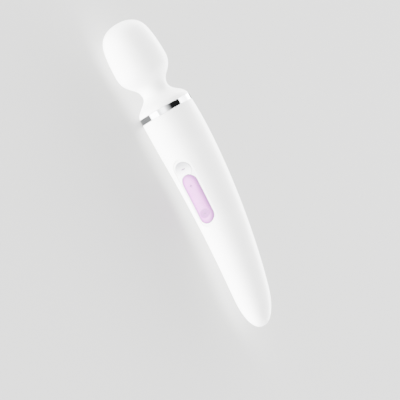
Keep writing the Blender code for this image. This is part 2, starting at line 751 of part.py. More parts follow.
def make_motor_leads():
    """Two wires from the motor's terminals, around the rear weight and down the neck."""
    routes = []
    floor, face, _ = pod_limits()
    out = MOTOR_RADIUS - 0.9 * MM
    start = MOTOR_END + CAP_THICKNESS + 4.6 * MM
    twin = 0.72 * WIRE_RADIUS
    board_end = CORE_STATION - BOARD_LENGTH / 2.0
    level = board_depth() + 0.2 * MM - radius_at(board_end)
    for side in (-1.0, 1.0):
        routes.append([
            (start - 1.5 * MM, 0.0, side * out), (start + 1.0 * MM, 0.0, side * out),
            (floor - 2.4 * MM, 0.0, side * (out - 1.6 * MM)),
            (floor - 1.3 * MM, 0.0, side * 5.0 * MM), (floor + 0.4 * MM, 0.0, side * 1.6 * MM),
            (face + 2.0 * MM, 0.0, side * twin),
            (NECK_STATION, 0.0, side * twin), (flange_face() + 3.0 * MM, 0.0, side * twin),
            (PLUG_END - 4.0 * MM, 0.0, side * twin),
            (PLUG_END + 5.0 * MM, level / 3.0, side * twin),
            (PLUG_END + 12.0 * MM, level * 0.82, side * twin),
            (PLUG_END + 22.0 * MM, level, side * twin),
            (board_end - 2.5 * MM, level, side * twin)])
    finish(twin_wire("motor_leads", routes, WIRE_RADIUS), "red_wire", NECK, lay)


# ---------------------------------------------------------------- collar
def flange_face():
    """Station of the neck flange's front face, under the shoulder's soft cover."""
    return ball_arc(NECK_BALL + GAP, 1)[-1][0] + COVER_FLOOR + GAP


def plug_radius():
    return radius_at(PLUG_START, SKIN_WALL + GAP + SHELL_WALL) - GAP


def make_collar():
    arc = ball_arc(NECK_BALL + GAP, 1)
    floor = arc[-1][0] + COVER_FLOOR
    lip = RING_START - GAP
    outer = surface_line(0.0, arc[0][0], lip)
    inner = surface_line(HEAD_WALL, floor, lip)
    outline = arc[::-1][:-1] + outer + inner[::-1] + [(floor, NECK_BORE)]
    finish(turned("shoulder_sleeve", outline), "white_silicone", WAND, lay)

    face = flange_face()
    plug = plug_radius()
    groove = plug - RIB_DEPTH
    dome = surface_line(HEAD_WALL + GAP, face, RING_START)
    outline = [(face - SPIGOT_LENGTH, SPIGOT_INNER), (face - SPIGOT_LENGTH, SPIGOT_OUTER),
               (face, SPIGOT_OUTER)] + dome
    outline += [(RING_START, LEDGE_RADIUS), (PLUG_START, LEDGE_RADIUS), (PLUG_START, plug),
                (RIB_START - GAP, plug), (RIB_START - GAP, groove),
                (RIB_START + RIB_WIDTH + GAP, groove), (RIB_START + RIB_WIDTH + GAP, plug),
                (PLUG_END, plug), (PLUG_END, plug - PLUG_WALL),
                (face + 5.0 * MM, plug - PLUG_WALL - 3.0 * MM), (face + 3.0 * MM, SPIGOT_INNER)]
    finish(turned("neck_flange", outline), "grey_plastic", WAND, lay)

    soft = 0.5 * MM
    bore = LEDGE_RADIUS + GAP
    ring = [(RING_START, bore), (RING_START, radius_at(RING_START) - soft),
            (RING_START + soft, radius_at(RING_START) + 0.1 * MM),
            (RING_END - soft, radius_at(RING_END) + 0.1 * MM),
            (RING_END, radius_at(RING_END) - soft), (RING_END, bore)]
    finish(turned("trim_ring", ring), "chrome", WAND, lay)

    middle = (plug + GAP + SEAL_RADIUS)
    ring = [(SEAL_STATION + SEAL_RADIUS * math.cos(a), middle + SEAL_RADIUS * math.sin(a))
            for a in np.linspace(0.0, 2.0 * math.pi, 9)[:-1]]
    finish(turned("ring_seal", ring), "black_rubber", WAND, lay)


# ---------------------------------------------------------------- handle
def panel_window(name, spread, low, high):
    outline = stadium(PANEL_START - spread, PANEL_END + spread, PANEL_HALF_WIDTH + spread)
    return extruded(name, [outline], "Y", low, high)


def charge_window(name):
    reach = CHARGE_HALF_STRAIGHT + CHARGE_HALF_WIDTH + CHARGE_GAP
    outline = stadium(CHARGE_STATION - reach, CHARGE_STATION + reach,
                      CHARGE_HALF_WIDTH + CHARGE_GAP, straight_points=2)
    return extruded(name, [outline], "Y", 2.0 * MM, 2.0 * GRIP_RADIUS)


def make_skin():
    start = RING_END + GAP
    outer = surface_line(0.0, start, None)
    inner = surface_line(SKIN_WALL, start, None)
    skin = turned("handle_skin", outer + inner[::-1])
    cut(skin, panel_window("window", GAP, -2.0 * GRIP_RADIUS, 0.0))
    cut(skin, charge_window("charge_window"))
    finish(skin, "white_silicone", WAND, lay)


def make_shells():
    inset = SKIN_WALL + GAP
    outer = surface_line(inset, SHELL_START, None)
    whole = turned("shell", [(SHELL_START, 0.0)] + outer)
    rib = plug_radius() - RIB_DEPTH + GAP
    inner = surface_line(inset + SHELL_WALL, SHELL_START, None)
    after = [point for point in inner if point[0] > RIB_START + RIB_WIDTH + GAP]
    wall_start = radius_at(SHELL_START, inset + SHELL_WALL)
    wall_rib = radius_at(RIB_START, inset + SHELL_WALL)
    hollow = [(SHELL_START - GAP, 0.0), (SHELL_START - GAP, wall_start), (RIB_START, wall_rib),
              (RIB_START, rib), (RIB_START + RIB_WIDTH, rib),
              (RIB_START + RIB_WIDTH, radius_at(RIB_START + RIB_WIDTH, inset + SHELL_WALL))]
    cavity = turned("cavity", hollow + after)
    reach = 2.0 * GRIP_RADIUS
    posts = [(SHELL_BOSS_RADIUS, *place) for place in SHELL_SCREWS]
    cut(cavity, rods("posts", posts, "Y", -reach, reach))
    cut(whole, cavity)
    shanks = [(SCREW_RADIUS + GAP, *place) for place in SHELL_SCREWS]
    cut(whole, rods("holes", shanks, "Y", -SCREW_REACH - 1.0 * MM, SCREW_SEAT + GAP))
    seats = [(SCREW_HEAD_RADIUS + GAP, *place) for place in SHELL_SCREWS]
    cut(whole, rods("seats", seats, "Y", SCREW_SEAT, reach))
    for name, side in (("front_shell", -1.0), ("rear_shell", 1.0)):
        half = copy_of(whole, name)
        keep = blocks("keep", [((0.0, side * GAP / 2.0, -reach), (2.0 * LENGTH, side * reach, reach))])
        boolean(half, keep, "INTERSECT")
        if side < 0.0:
            cut(half, panel_window("window", GAP, -reach, -2.0 * MM))
        else:
            cut(half, charge_window("charge_window"))
        finish(half, "white_plastic", WAND, lay)
    bpy.data.objects.remove(whole)

    top = SCREW_SEAT + GAP
    for number, place in enumerate(SHELL_SCREWS, 1):
        head = (SCREW_HEAD_RADIUS, top, top + SCREW_HEAD_HEIGHT)
        shank = (SCREW_RADIUS, -SCREW_REACH, top + SCREW_HEAD_HEIGHT / 2.0)
        finish(screw(f"shell_screw_{number}", "Y", place, head, shank), "steel", WAND, lay)


# ---------------------------------------------------------------- control panel
def surface_drop(station, sideways):
    """How far the outer surface lies below its middle line at a sideways distance."""
    radius = radius_at(station)
    return radius - math.sqrt(radius ** 2 - sideways ** 2)


def panel_ring(start, end, half_width, depth, follow):
    """Ring of a panel piece. With follow the depth is measured from the round surface."""
    ring = []
    for station, sideways in stadium(start, end, half_width):
        drop = surface_drop(station, sideways) if follow else 0.0
        extra = depth(station, sideways) if callable(depth) else depth
        ring.append((station, extra + drop, sideways))
    return ring


def key_solid(name, start, end, half_width, depth, rim):
    """Button with round ends: flat underside, straight sides and a shaped top."""
    rings = [panel_ring(start, end, half_width, KEY_DEPTH, False),
             panel_ring(start, end, half_width, lambda s, z: depth(s, z) + rim, True)]
    for share in (0.06, 0.28, 0.5, 0.72, 0.9):
        inset = share * half_width
        rings.append(panel_ring(start + inset, end - inset, half_width - inset, depth, True))
    return lofted(name, rings)


def button_depth(station, sideways):
    """Concave dish, deepest at its centre."""
    share = math.hypot(station - BUTTON_STATION, sideways) / BUTTON_RADIUS
    return PANEL_RECESS + BUTTON_DISH * max(1.0 - share ** 2, 0.0)


def rocker_depth(station, sideways):
    """Two finger dips, the lower one deeper."""
    depth = ROCKER_RECESS
    ends = (ROCKER_START + DIP_LENGTH, ROCKER_END - DIP_LENGTH)
    for centre, dip in zip(ends, (UPPER_DIP, LOWER_DIP)):
        share = math.hypot((station - centre) / (DIP_LENGTH * 0.6), sideways / ROCKER_HALF_WIDTH)
        depth += dip * math.cos(math.pi / 2.0 * min(share, 1.0)) ** 2
    return depth


def rocker_pocket(name, margin):
    outline = stadium(ROCKER_START - margin, ROCKER_END + margin, ROCKER_HALF_WIDTH + margin)
    return extruded(name, [outline], "Y", -GRIP_RADIUS, GRIP_RADIUS)


def rocker_station():
    return (ROCKER_START + ROCKER_END) / 2.0


def membrane_depth():
    return FLANGE_DEPTH + FLANGE_THICKNESS + GAP


def make_bezel():
    wide = FLANGE_HALF_WIDTH - PANEL_HALF_WIDTH
    under = FLANGE_DEPTH + FLANGE_THICKNESS
    start, end = PANEL_START, PANEL_END
    rings = [panel_ring(start - wide, end + wide, FLANGE_HALF_WIDTH, under, False),
             panel_ring(start - wide, end + wide, FLANGE_HALF_WIDTH, FLANGE_DEPTH, False),
             panel_ring(start, end, PANEL_HALF_WIDTH, FLANGE_DEPTH, False)]
    for share in (0.0, 0.2, 0.45, 0.7, 0.9):
        inset = share * PANEL_HALF_WIDTH
        rings.append(panel_ring(start + inset, end - inset, PANEL_HALF_WIDTH - inset,
                                PANEL_RECESS, True))
    bezel = lofted("control_bezel", rings)
    dish = circle(BUTTON_RADIUS + GAP, SIDES, (BUTTON_STATION, 0.0))
    cut(bezel, extruded("dish", [dish], "Y", -GRIP_RADIUS, GRIP_RADIUS))
    cut(bezel, rocker_pocket("pocket", GAP))
    low = PIN_DEPTH - PIN_RADIUS - 0.8 * MM
    ears = [((rocker_station() - 4.0 * MM, low, side * (PIN_BOSS_HALF_WIDTH + GAP)),
             (rocker_station() + 4.0 * MM, under, side * (ROCKER_HALF_WIDTH + GAP + 0.4 * MM)))
            for side in (-1.0, 1.0)]
    join(bezel, blocks("ears", ears))
    hole = [(PIN_RADIUS + GAP, rocker_station(), PIN_DEPTH)]
    reach = ROCKER_HALF_WIDTH + GAP
    cut(bezel, rods("pin_hole", hole, "Z", -reach, reach))
    finish(bezel, "white_plastic", WAND, lay_panel)

    wall = FLANGE_HALF_WIDTH - GAP
    outline = stadium(start - wide + GAP, end + wide - GAP, wall)
    top = membrane_depth()
    membrane = extruded("keypad_membrane", [outline], "Y", top, top + MEMBRANE_THICKNESS)
    finish(membrane, "black_rubber", WAND, lay_panel)


def make_keys():
    start = BUTTON_STATION - BUTTON_RADIUS
    end = BUTTON_STATION + BUTTON_RADIUS
    button = key_solid("power_button", start, end - 0.1 * MM, BUTTON_RADIUS - 0.05 * MM,
                       button_depth, 0.2 * MM)
    cut(button, rocker_pocket("pocket", 2.0 * GAP))
    stem = [(STEM_RADIUS, BUTTON_STATION - STEM_OFFSET, 0.0)]
    foot = membrane_depth() - BUTTON_TRAVEL - 0.1 * MM
    join(button, rods("stem", stem, "Y", KEY_DEPTH - 0.5 * MM, foot))
    finish(button, "white_silicone", BUTTON, lay_panel)

    middle = rocker_station()
    rocker = key_solid("speed_rocker", ROCKER_START, ROCKER_END, ROCKER_HALF_WIDTH,
                       rocker_depth, 0.7 * MM)
    boss = [((middle - 3.2 * MM, KEY_DEPTH - 0.5 * MM, -PIN_BOSS_HALF_WIDTH),
             (middle + 3.2 * MM, PIN_DEPTH + PIN_RADIUS + 0.7 * MM, PIN_BOSS_HALF_WIDTH))]
    join(rocker, blocks("boss", boss))
    legs = [(STEM_RADIUS, middle + side * ROCKER_LEG, 0.0) for side in (-1.0, 1.0)]
    join(rocker, rods("legs", legs, "Y", KEY_DEPTH - 0.5 * MM, membrane_depth() - 0.5 * MM))
    hole = [(PIN_RADIUS + GAP, middle, PIN_DEPTH)]
    cut(rocker, rods("pin_hole", hole, "Z", -ROCKER_HALF_WIDTH, ROCKER_HALF_WIDTH))
    finish(rocker, "lilac_silicone", ROCKER, lay_panel)

    length = ROCKER_HALF_WIDTH
    pin = rods("rocker_pin", [(PIN_RADIUS, middle, PIN_DEPTH)], "Z", -length, length)
    finish(pin, "steel", WAND, lay_panel)


# ---------------------------------------------------------------- core
def board_depth():
    """Depth of the board's face below the membrane and the switches."""
    return membrane_depth() + MEMBRANE_THICKNESS + GAP + SWITCH_HEIGHT + GAP


def post_places():
    return [(side * POST_OFFSET, cross * POST_SPREAD) for side in (-1.0, 1.0) for cross in (-1.0, 1.0)]


def screw_places():
    """The board is screwed to two posts across a diagonal and rests on the others."""
    places = post_places()
    return [places[0], places[-1]]


def plate_depth():
    """Depth of the chassis plate's front face: the posts carry the board above it."""
    return board_depth() + BOARD_THICKNESS + 4.3 * MM


def cell_depth():
    return plate_depth() + CHASSIS_THICKNESS + GAP + CELL_RADIUS


def make_board():
    half_length = BOARD_LENGTH / 2.0
    half_width = BOARD_WIDTH / 2.0
    face = board_depth()
    rim = [(-half_length, -half_width), (half_length, -half_width), (half_length, half_width),
           (-half_length, half_width)]
    board = extruded("main_board", [rim], "Y", face, face + BOARD_THICKNESS)
    holes = [(BOARD_SCREW_RADIUS + GAP, *place) for place in screw_places()]
    cut(board, rods("holes", holes, "Y", face - GAP, face + BOARD_THICKNESS + GAP))
    finish(board, "circuit_board", WAND, CORE)

    top = face - GAP
    for number, place in enumerate(screw_places(), 1):
        head = (2.1 * BOARD_SCREW_RADIUS, top - 1.1 * MM, top)
        shank = (BOARD_SCREW_RADIUS, top - 0.5 * MM, plate_depth() - 1.0 * MM)
        finish(screw(f"board_screw_{number}", "Y", place, head, shank), "steel", WAND, CORE)

    half = 3.0 * MM
    crown = top - SWITCH_HEIGHT
    for name, station in (("power_switch", BUTTON_STATION - STEM_OFFSET),
                          ("speed_up_switch", rocker_station() - ROCKER_LEG),
                          ("speed_down_switch", rocker_station() + ROCKER_LEG)):
        place = station - CORE_STATION
        body = [((place - half, crown + 0.5 * MM, -half), (place + half, top, half))]
        plunger = rods("plunger", [(half / 2.0, place, 0.0)], "Y", crown, crown + MM)
        finish(join(blocks(name, body), plunger), "grey_plastic", WAND, CORE)

    chip = [((2.0 * MM, top - 1.1 * MM, -half), (8.0 * MM, top, half))]
    finish(blocks("control_chip", chip), "black_rubber", WAND, CORE)


def make_chassis():
    plate = plate_depth()
    under = plate + CHASSIS_THICKNESS
    head_end = CELL_END - CELL_LENGTH - CELL_CLEARANCE
    tail_end = CELL_END + CELL_CLEARANCE
    overhang = BOARD_LENGTH / 2.0 + 2.0 * MM
    wide = CHASSIS_HALF_WIDTH
    drop = CELL_RADIUS * 1.6
    chassis = blocks("inner_chassis", [((head_end - CELL_WALL, plate, -wide), (overhang, under, wide))])
    walls = [((head_end - CELL_WALL, plate + 0.5 * MM, -wide), (head_end, under + drop, wide)),
             ((tail_end, plate + 0.5 * MM, -wide), (tail_end + CELL_WALL, under + drop, wide))]
    join(chassis, blocks("walls", walls))
    posts = [(POST_RADIUS, *place) for place in post_places()]
    foot = board_depth() + BOARD_THICKNESS + GAP
    join(chassis, rods("posts", posts, "Y", foot, plate + 0.5 * MM))
    holes = [(BOARD_SCREW_RADIUS + GAP, *place) for place in screw_places()]
    cut(chassis, rods("holes", holes, "Y", foot - GAP, plate))
    notch = [((head_end + 0.4 * MM, plate - GAP, -5.0 * MM), (head_end + 6.0 * MM, under + GAP, 5.0 * MM))]
    cut(chassis, blocks("notch", notch))
    finish(chassis, "grey_plastic", WAND, CORE)


def make_cells():
    centre = cell_depth()
    start = CELL_END - CELL_LENGTH
    button = 2.8 * MM
    chamfer = 0.8 * MM
    for number, side in enumerate((-1.0, 1.0), 1):
        outline = [(start, 0.0), (start, CELL_RADIUS - chamfer), (start + chamfer, CELL_RADIUS),
                   (CELL_END - chamfer, CELL_RADIUS), (CELL_END - chamfer / 2.0, CELL_RADIUS - chamfer),
                   (CELL_END - chamfer / 2.0, button), (CELL_END, button), (CELL_END, 0.0)]
        cell = turned(f"battery_cell_{number}", outline, SIDES, (centre, side * CELL_SPREAD))
        finish(cell, "cell_wrap", WAND, CORE)

    near = start - GAP
    far = CELL_END + GAP
    low = centre - 3.0 * MM
    high = centre + 3.0 * MM
    for number, side in enumerate((-1.0, 1.0), 1):
        tab = [((near - TAB_THICKNESS, low - 3.0 * MM, side * 1.5 * MM),
                (near, high, side * (CELL_SPREAD + 4.0 * MM)))]
        finish(blocks(f"battery_tab_{number}", tab), "steel", WAND, CORE)
    spread = CELL_SPREAD + 3.0 * MM
    link = [((far, low, -spread), (far + TAB_THICKNESS, high, spread))]
    finish(blocks("battery_link", link), "steel", WAND, CORE)

    level = plate_depth() - WIRE_RADIUS - GAP
    under = board_depth() + BOARD_THICKNESS + WIRE_RADIUS + GAP
    board_edge = -BOARD_LENGTH / 2.0
    twin = 0.72 * WIRE_RADIUS
    routes = []
    for side in (-1.0, 1.0):
        routes.append([(near + 2.0 * MM, centre - 8.0 * MM, side * 3.0 * MM),
                       (near + 1.4 * MM, centre - 9.6 * MM, side * 2.0 * MM),
                       (near + 2.6 * MM, level + 0.4 * MM, side * twin),
                       (near + 8.0 * MM, level - 0.8 * MM, side * twin),
                       (board_edge - 4.0 * MM, level - 2.0 * MM, side * twin),
                       (board_edge + 1.0 * MM, under, side * twin)])
    finish(twin_wire("battery_leads", routes, WIRE_RADIUS), "red_wire", WAND, CORE)


# ---------------------------------------------------------------- charging contacts
def charge_ring(half_width, depth):
    reach = CHARGE_HALF_STRAIGHT + half_width
    return [(station, -depth, cross)
            for station, cross in stadium(-reach, reach, half_width, straight_points=2)]


def make_charger():
    face = CHARGE_RECESS
    wide = CHARGE_HALF_WIDTH + CHARGE_FLANGE
    drop = CHARGE_HALF_WIDTH ** 2 / (2.0 * radius_at(CHARGE_STATION))
    inner = SKIN_WALL + GAP + SHELL_WALL + wide ** 2 / (2.0 * radius_at(CHARGE_STATION)) + 0.6 * MM
    pad = lofted("charge_pad", [charge_ring(wide, inner + CHARGE_FLANGE), charge_ring(wide, inner),
                                charge_ring(CHARGE_HALF_WIDTH, inner),
                                charge_ring(CHARGE_HALF_WIDTH, max(face, drop))])
    face = max(face, drop)
    places = [(side * CONTACT_OFFSET, 0.0) for side in (-1.0, 1.0)]
    wells = [(CONTACT_RADIUS + GAP, *place) for place in places]
    cut(pad, rods("wells", wells, "Y", -face - 2.4 * MM, 0.0))
    finish(pad, "white_plastic", WAND, CHARGER)
    for number, place in enumerate(places, 1):
        contact = rods(f"charge_contact_{number}", [(CONTACT_RADIUS, *place)], "Y",
                       -face - 2.1 * MM, -face - 0.1 * MM)
        finish(contact, "brass", WAND, CHARGER)
    under = inner + CHARGE_FLANGE + GAP
    magnet = [((-6.0 * MM, -under - 2.0 * MM, -3.0 * MM), (6.0 * MM, -under, 3.0 * MM))]
    finish(blocks("charge_magnet", magnet), "magnet", WAND, CHARGER)

    routes = []
    tail = CHARGE_STATION
    board_end = CORE_STATION + BOARD_LENGTH / 2.0
    level = board_depth() + BOARD_THICKNESS + 2.4 * MM - radius_at(board_end)
    twin = 0.72 * WIRE_RADIUS
    beside = SHELL_BOSS_RADIUS + 2.2 * MM
    for side in (-1.0, 1.0):
        routes.append([(tail - 11.0 * MM, 6.0 * MM, side * 2.5 * MM),
                       (tail - 17.0 * MM, 4.0 * MM, 2.0 * MM + side * 1.6 * MM),
                       (tail - 30.0 * MM, 1.0 * MM, beside + side * twin),
                       (tail - 45.0 * MM, 0.4 * level, beside + side * twin),
                       (board_end + 2.5 * MM, level, beside + side * twin)])
    finish(twin_wire("charge_leads", routes, WIRE_RADIUS), "red_wire", WAND, lay)


# ---------------------------------------------------------------- assembly
def clear_scene():
    for thing in list(bpy.data.objects):
        bpy.data.objects.remove(thing)


def stand_on_floor():
    """Move the wand so that the middle of its box's underside is at the world's origin."""
    bpy.context.view_layer.update()
    corners = np.array([solid.matrix_world @ vert.co for solid in NODES for vert in solid.data.vertices])
    low = corners.min(axis=0)
    high = corners.max(axis=0)
    middle = (low + high) / 2.0
    WAND.location = (-middle[0], -middle[1], -low[2])
    bpy.context.view_layer.update()


clear_scene()
NODES = []
WAND = empty("wand", (0.0, 0.0, 0.0))
NECK = empty("neck_pivot", (NECK_STATION, 0.0, 0.0), WAND)
HEAD = empty("head_pivot", (0.0, 0.0, 0.0), NECK)
ROTOR = empty("rotor_axis", ((MOTOR_START + MOTOR_END) / 2.0 - NECK_STATION, 0.0, 0.0), HEAD)
BUTTON = empty("button_guide", lay((BUTTON_STATION, KEY_DEPTH - radius_at(BUTTON_STATION), 0.0)), WAND)
ROCKER = empty("rocker_axis", lay((rocker_station(), PIN_DEPTH - radius_at(rocker_station()), 0.0)), WAND)

make_head_sleeve()
make_pod()
make_motor()
make_rotor()
make_neck()
make_motor_leads()
make_collar()
make_skin()
make_shells()
make_bezel()
make_keys()
make_board()
make_chassis()
make_cells()
make_charger()
stand_on_floor()
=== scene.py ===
# %% [markdown]
# The wand massager is a soft white body on a hard inner shell: an egg head on a slim sprung neck,
# a polished collar ring, and a long handle that tapers and curves gently towards its controls.
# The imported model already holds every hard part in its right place. This script dresses it:
# it makes fine surfaces for what the hand and eye meet, and gives every part a real finish.

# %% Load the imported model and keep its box
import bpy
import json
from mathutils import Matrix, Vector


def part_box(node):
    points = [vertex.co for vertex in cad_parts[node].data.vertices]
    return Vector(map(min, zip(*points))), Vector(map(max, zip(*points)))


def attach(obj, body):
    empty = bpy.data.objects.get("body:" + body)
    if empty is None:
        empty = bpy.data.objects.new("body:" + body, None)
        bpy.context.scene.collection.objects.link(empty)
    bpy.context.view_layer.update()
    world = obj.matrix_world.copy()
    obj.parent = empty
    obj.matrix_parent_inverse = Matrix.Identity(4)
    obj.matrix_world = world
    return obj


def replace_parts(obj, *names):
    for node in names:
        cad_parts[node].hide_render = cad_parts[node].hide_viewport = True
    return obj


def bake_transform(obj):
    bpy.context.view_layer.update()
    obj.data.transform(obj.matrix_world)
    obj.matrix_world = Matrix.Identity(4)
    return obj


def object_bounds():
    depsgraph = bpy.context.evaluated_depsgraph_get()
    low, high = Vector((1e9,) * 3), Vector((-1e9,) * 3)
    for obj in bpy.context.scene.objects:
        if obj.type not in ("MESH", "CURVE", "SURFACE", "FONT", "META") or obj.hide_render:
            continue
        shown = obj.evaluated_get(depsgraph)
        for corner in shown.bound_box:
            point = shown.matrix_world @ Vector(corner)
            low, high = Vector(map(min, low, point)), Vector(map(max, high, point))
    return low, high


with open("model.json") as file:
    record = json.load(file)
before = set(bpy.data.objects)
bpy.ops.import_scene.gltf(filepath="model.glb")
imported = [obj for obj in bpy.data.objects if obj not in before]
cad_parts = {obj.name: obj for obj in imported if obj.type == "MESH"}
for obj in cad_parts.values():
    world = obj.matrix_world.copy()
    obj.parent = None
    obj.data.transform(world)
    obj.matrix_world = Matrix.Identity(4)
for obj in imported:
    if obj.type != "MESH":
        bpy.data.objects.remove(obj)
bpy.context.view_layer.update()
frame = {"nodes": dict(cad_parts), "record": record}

import json
import math
import bmesh
import bpy
import numpy as np
from mathutils import Matrix

MM = 0.001
print("parts in the model:", len(frame["nodes"]))

# %% [markdown]
# Colours are written as the hex values a designer would pick on a screen. A shader works in
# linear light, so one function turns the first kind into the second.

# %% Hex colours to linear light
def linear(hex_colour):
    """Each channel: value / 12.92 when dark, otherwise ((value + 0.055) / 1.055) to the 2.4."""
    channels = np.array([int(hex_colour[i:i + 2], 16) / 255.0 for i in (0, 2, 4)])
    bright = ((channels + 0.055) / 1.055) ** 2.4
    return (*np.where(channels <= 0.04045, channels / 12.92, bright).tolist(), 1.0)


print("mid grey 808080 in linear light:", round(linear("808080")[0], 3))

# %% [markdown]
# The whole body is one outline turned about a centre line, and the centre line itself bends.
# The outline is a chain of cubic curves through a few knots: the crown, the widest part of the
# egg, the waist, the shoulder, the grip, the slim end and the tip. Each knot has a station along
# the centre line, a radius, a direction in degrees, and how far its handles reach as a share of
# the distance to its neighbours.

# %% The outline of the body
KNOTS = [(0.0, 0.0, 90.0, 0.0, 0.374),
         (16.15, 24.7, 16.0, 0.438, 0.2185),
         (47.6, 27.9, 0.0, 0.4035, 0.557),
         (76.8, 14.24, 0.0, 0.3867, 0.326),
         (96.0, 27.78, -1.1, 0.373, 0.052),
         (121.3, 28.4, 0.0, 0.647, 0.2328),
         (301.4, 18.3, -5.6, 0.2176, 0.3978),
         (337.5, 0.0, -90.0, 0.2926, 0.0)]
WAIST = 76.8 * MM
TIP = 337.5 * MM


def outline_curve(samples=600):
    """Cubic curve between each two knots: the four points weighted (1-t)^3, 3t(1-t)^2, 3t^2(1-t), t^3."""
    t = np.linspace(0.0, 1.0, samples)[:, None]
    parts = []
    for first, last in zip(KNOTS, KNOTS[1:]):
        start, end = np.array(first[:2]), np.array(last[:2])
        chord = np.linalg.norm(end - start)
        leave, arrive = np.radians(first[2]), np.radians(last[2])
        one = start + first[4] * chord * np.array([np.cos(leave), np.sin(leave)])
        two = end - last[3] * chord * np.array([np.cos(arrive), np.sin(arrive)])
        curve = ((1 - t) ** 3 * start + 3 * t * (1 - t) ** 2 * one
                 + 3 * t ** 2 * (1 - t) * two + t ** 3 * end)
        parts.append(curve if last is KNOTS[-1] else curve[:-1])
    return np.vstack(parts) * MM


OUTLINE = outline_curve()
SLOPE = np.gradient(OUTLINE, axis=0)
SLOPE /= np.linalg.norm(SLOPE, axis=1)[:, None]
OUTWARD = np.column_stack((-SLOPE[:, 1], SLOPE[:, 0]))
TRAVEL = np.concatenate(([0.0], np.cumsum(np.linalg.norm(np.diff(OUTLINE, axis=0), axis=1))))
print("outline travel, mm:", round(TRAVEL[-1] / MM, 1))

# %% Reading the outline
def radius(station):
    """Radius of the outline at any stations, read between its dense points."""
    return np.interp(station, OUTLINE[:, 0], OUTLINE[:, 1])


def along(first, last, step, inset=0.0):
    """Points evenly spaced by travel between two stations, moved inwards along the outline's normal."""
    reach = np.interp([first, last], OUTLINE[:, 0], TRAVEL)
    count = max(int(round((reach[1] - reach[0]) / step)), 2) + 1
    travel = np.linspace(*reach, count)
    moved = OUTLINE - inset * OUTWARD
    return np.column_stack([np.interp(travel, TRAVEL, moved[:, i]) for i in (0, 1)])


print("widest radius, mm:", round(radius(KNOTS[2][0] * MM) / MM, 2))

# %% [markdown]
# The handle bends in one plane, on a wide arc, from just below the collar. Carrying a point from
# the straight drawing to the bent wand takes three sums. The crown's place comes from the model.

# %% From the straight drawing to the bent wand
BEND_START = 110.0 * MM
BEND_RADIUS = 577.0 * MM
head_low, head_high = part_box("head_sleeve")
CROWN = np.array([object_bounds()[0].x, (head_low.y + head_high.y) / 2, (head_low.z + head_high.z) / 2])


def place(station, out, side):
    """Turn = (station past the bend's start) / bend radius; the point swings round the bend's centre."""
    station, out, side = np.broadcast_arrays(station, out, side)
    turn = np.maximum(station - BEND_START, 0.0) / BEND_RADIUS
    x = np.minimum(station, BEND_START) + (BEND_RADIUS + out) * np.sin(turn)
    y = (BEND_RADIUS + out) * np.cos(turn) - BEND_RADIUS
    return np.stack((x, y, side), axis=-1) + CROWN


def on_front(station, side, depth):
    """Point under the front surface: out = -(sqrt(radius^2 - side^2) - depth)."""
    return place(station, depth - np.sqrt(radius(station) ** 2 - side ** 2), side)


def on_turn(line, angles):
    """Turned surface: each outline point's radius swept through the angles, angle 0 at the controls."""
    station, out = line[:, :1], line[:, 1:]
    return place(station, -out * np.cos(angles), out * np.sin(angles))


print("crown, mm:", np.round(CROWN / MM, 2))

# %% [markdown]
# Blender keeps a mesh as corners and faces. Every surface here starts as a grid of points, rows by
# columns, so the faces are always the same four neighbours. Patches that meet edge to edge are
# merged, and the normals are then turned outwards.

# %% From grids of points to one mesh
WELD = 0.002 * MM
SLIVER = 0.001 * MM


def grid_faces(rows, columns, offset, keep=None):
    """Four neighbours of each grid cell, as corner numbers; keep chooses which cells are made."""
    first = np.arange(rows - 1)[:, None] * columns + np.arange(columns - 1) + offset
    faces = np.stack((first, first + 1, first + columns + 1, first + columns), axis=-1)
    return faces.reshape(-1, 4) if keep is None else faces[keep]


def to_object(name, mesh, sharp):
    """Smooth shading, but for creases over the given degrees, then an object in the scene."""
    mesh.shade_smooth()
    mesh.set_sharp_from_angle(angle=math.radians(sharp))
    piece = bpy.data.objects.new(name, mesh)
    bpy.context.scene.collection.objects.link(piece)
    return piece


def make_piece(name, patches, keep=None, sharp=40.0):
    """One mesh from grids of points: corners and faces joined end to end, doubles merged, normals out."""
    corners, faces, offset = [], [], 0
    for number, patch in enumerate(patches):
        rows, columns = patch.shape[:2]
        corners.append(patch.reshape(-1, 3))
        faces.append(grid_faces(rows, columns, offset, keep if number == 0 else None))
        offset += rows * columns
    mesh = bpy.data.meshes.new(name)
    mesh.from_pydata(np.vstack(corners).tolist(), [], np.vstack(faces).tolist())
    shape = bmesh.new()
    shape.from_mesh(mesh)
    bmesh.ops.remove_doubles(shape, verts=shape.verts, dist=WELD)
    bmesh.ops.dissolve_degenerate(shape, edges=shape.edges, dist=SLIVER)
    bmesh.ops.recalc_face_normals(shape, faces=shape.faces)
    shape.to_mesh(mesh)
    shape.free()
    print(name, "faces:", len(mesh.polygons))
    return to_object(name, mesh, sharp)


# %% [markdown]
# A material is a small graph. One function adds a node, fills in its settings and joins its inputs.
# Everything is measured in millimetres on the piece itself: Object coordinates are in metres, so a
# texture scale of 1 / size gives a pattern of that size.

# %% Adding a node
def add_node(tree, kind, settings=None, **inputs):
    """A node of the graph; settings are its own values, inputs are values or outputs to join."""
    node = tree.nodes.new(kind)
    for name, value in (settings or {}).items():
        setattr(node, name, value)
    for name, value in inputs.items():
        socket = node.inputs[int(name[1:])] if name[1:].isdigit() else node.inputs[name.replace("_", " ")]
        if isinstance(value, bpy.types.NodeSocket):
            tree.links.new(value, socket)
        else:
            socket.default_value = value
    return node


# %% [markdown]
# Most real finishes need the same three things: a colour that drifts a little, a roughness that
# is not quite even, and a fine relief that breaks up the highlight. The sizes of the three differ
# from finish to finish, and so does the kind of grain, so they are given for each one.

# %% A finish with drift, uneven gloss and grain
DRIFT_FROM, DRIFT_TO = 0.3, 0.7


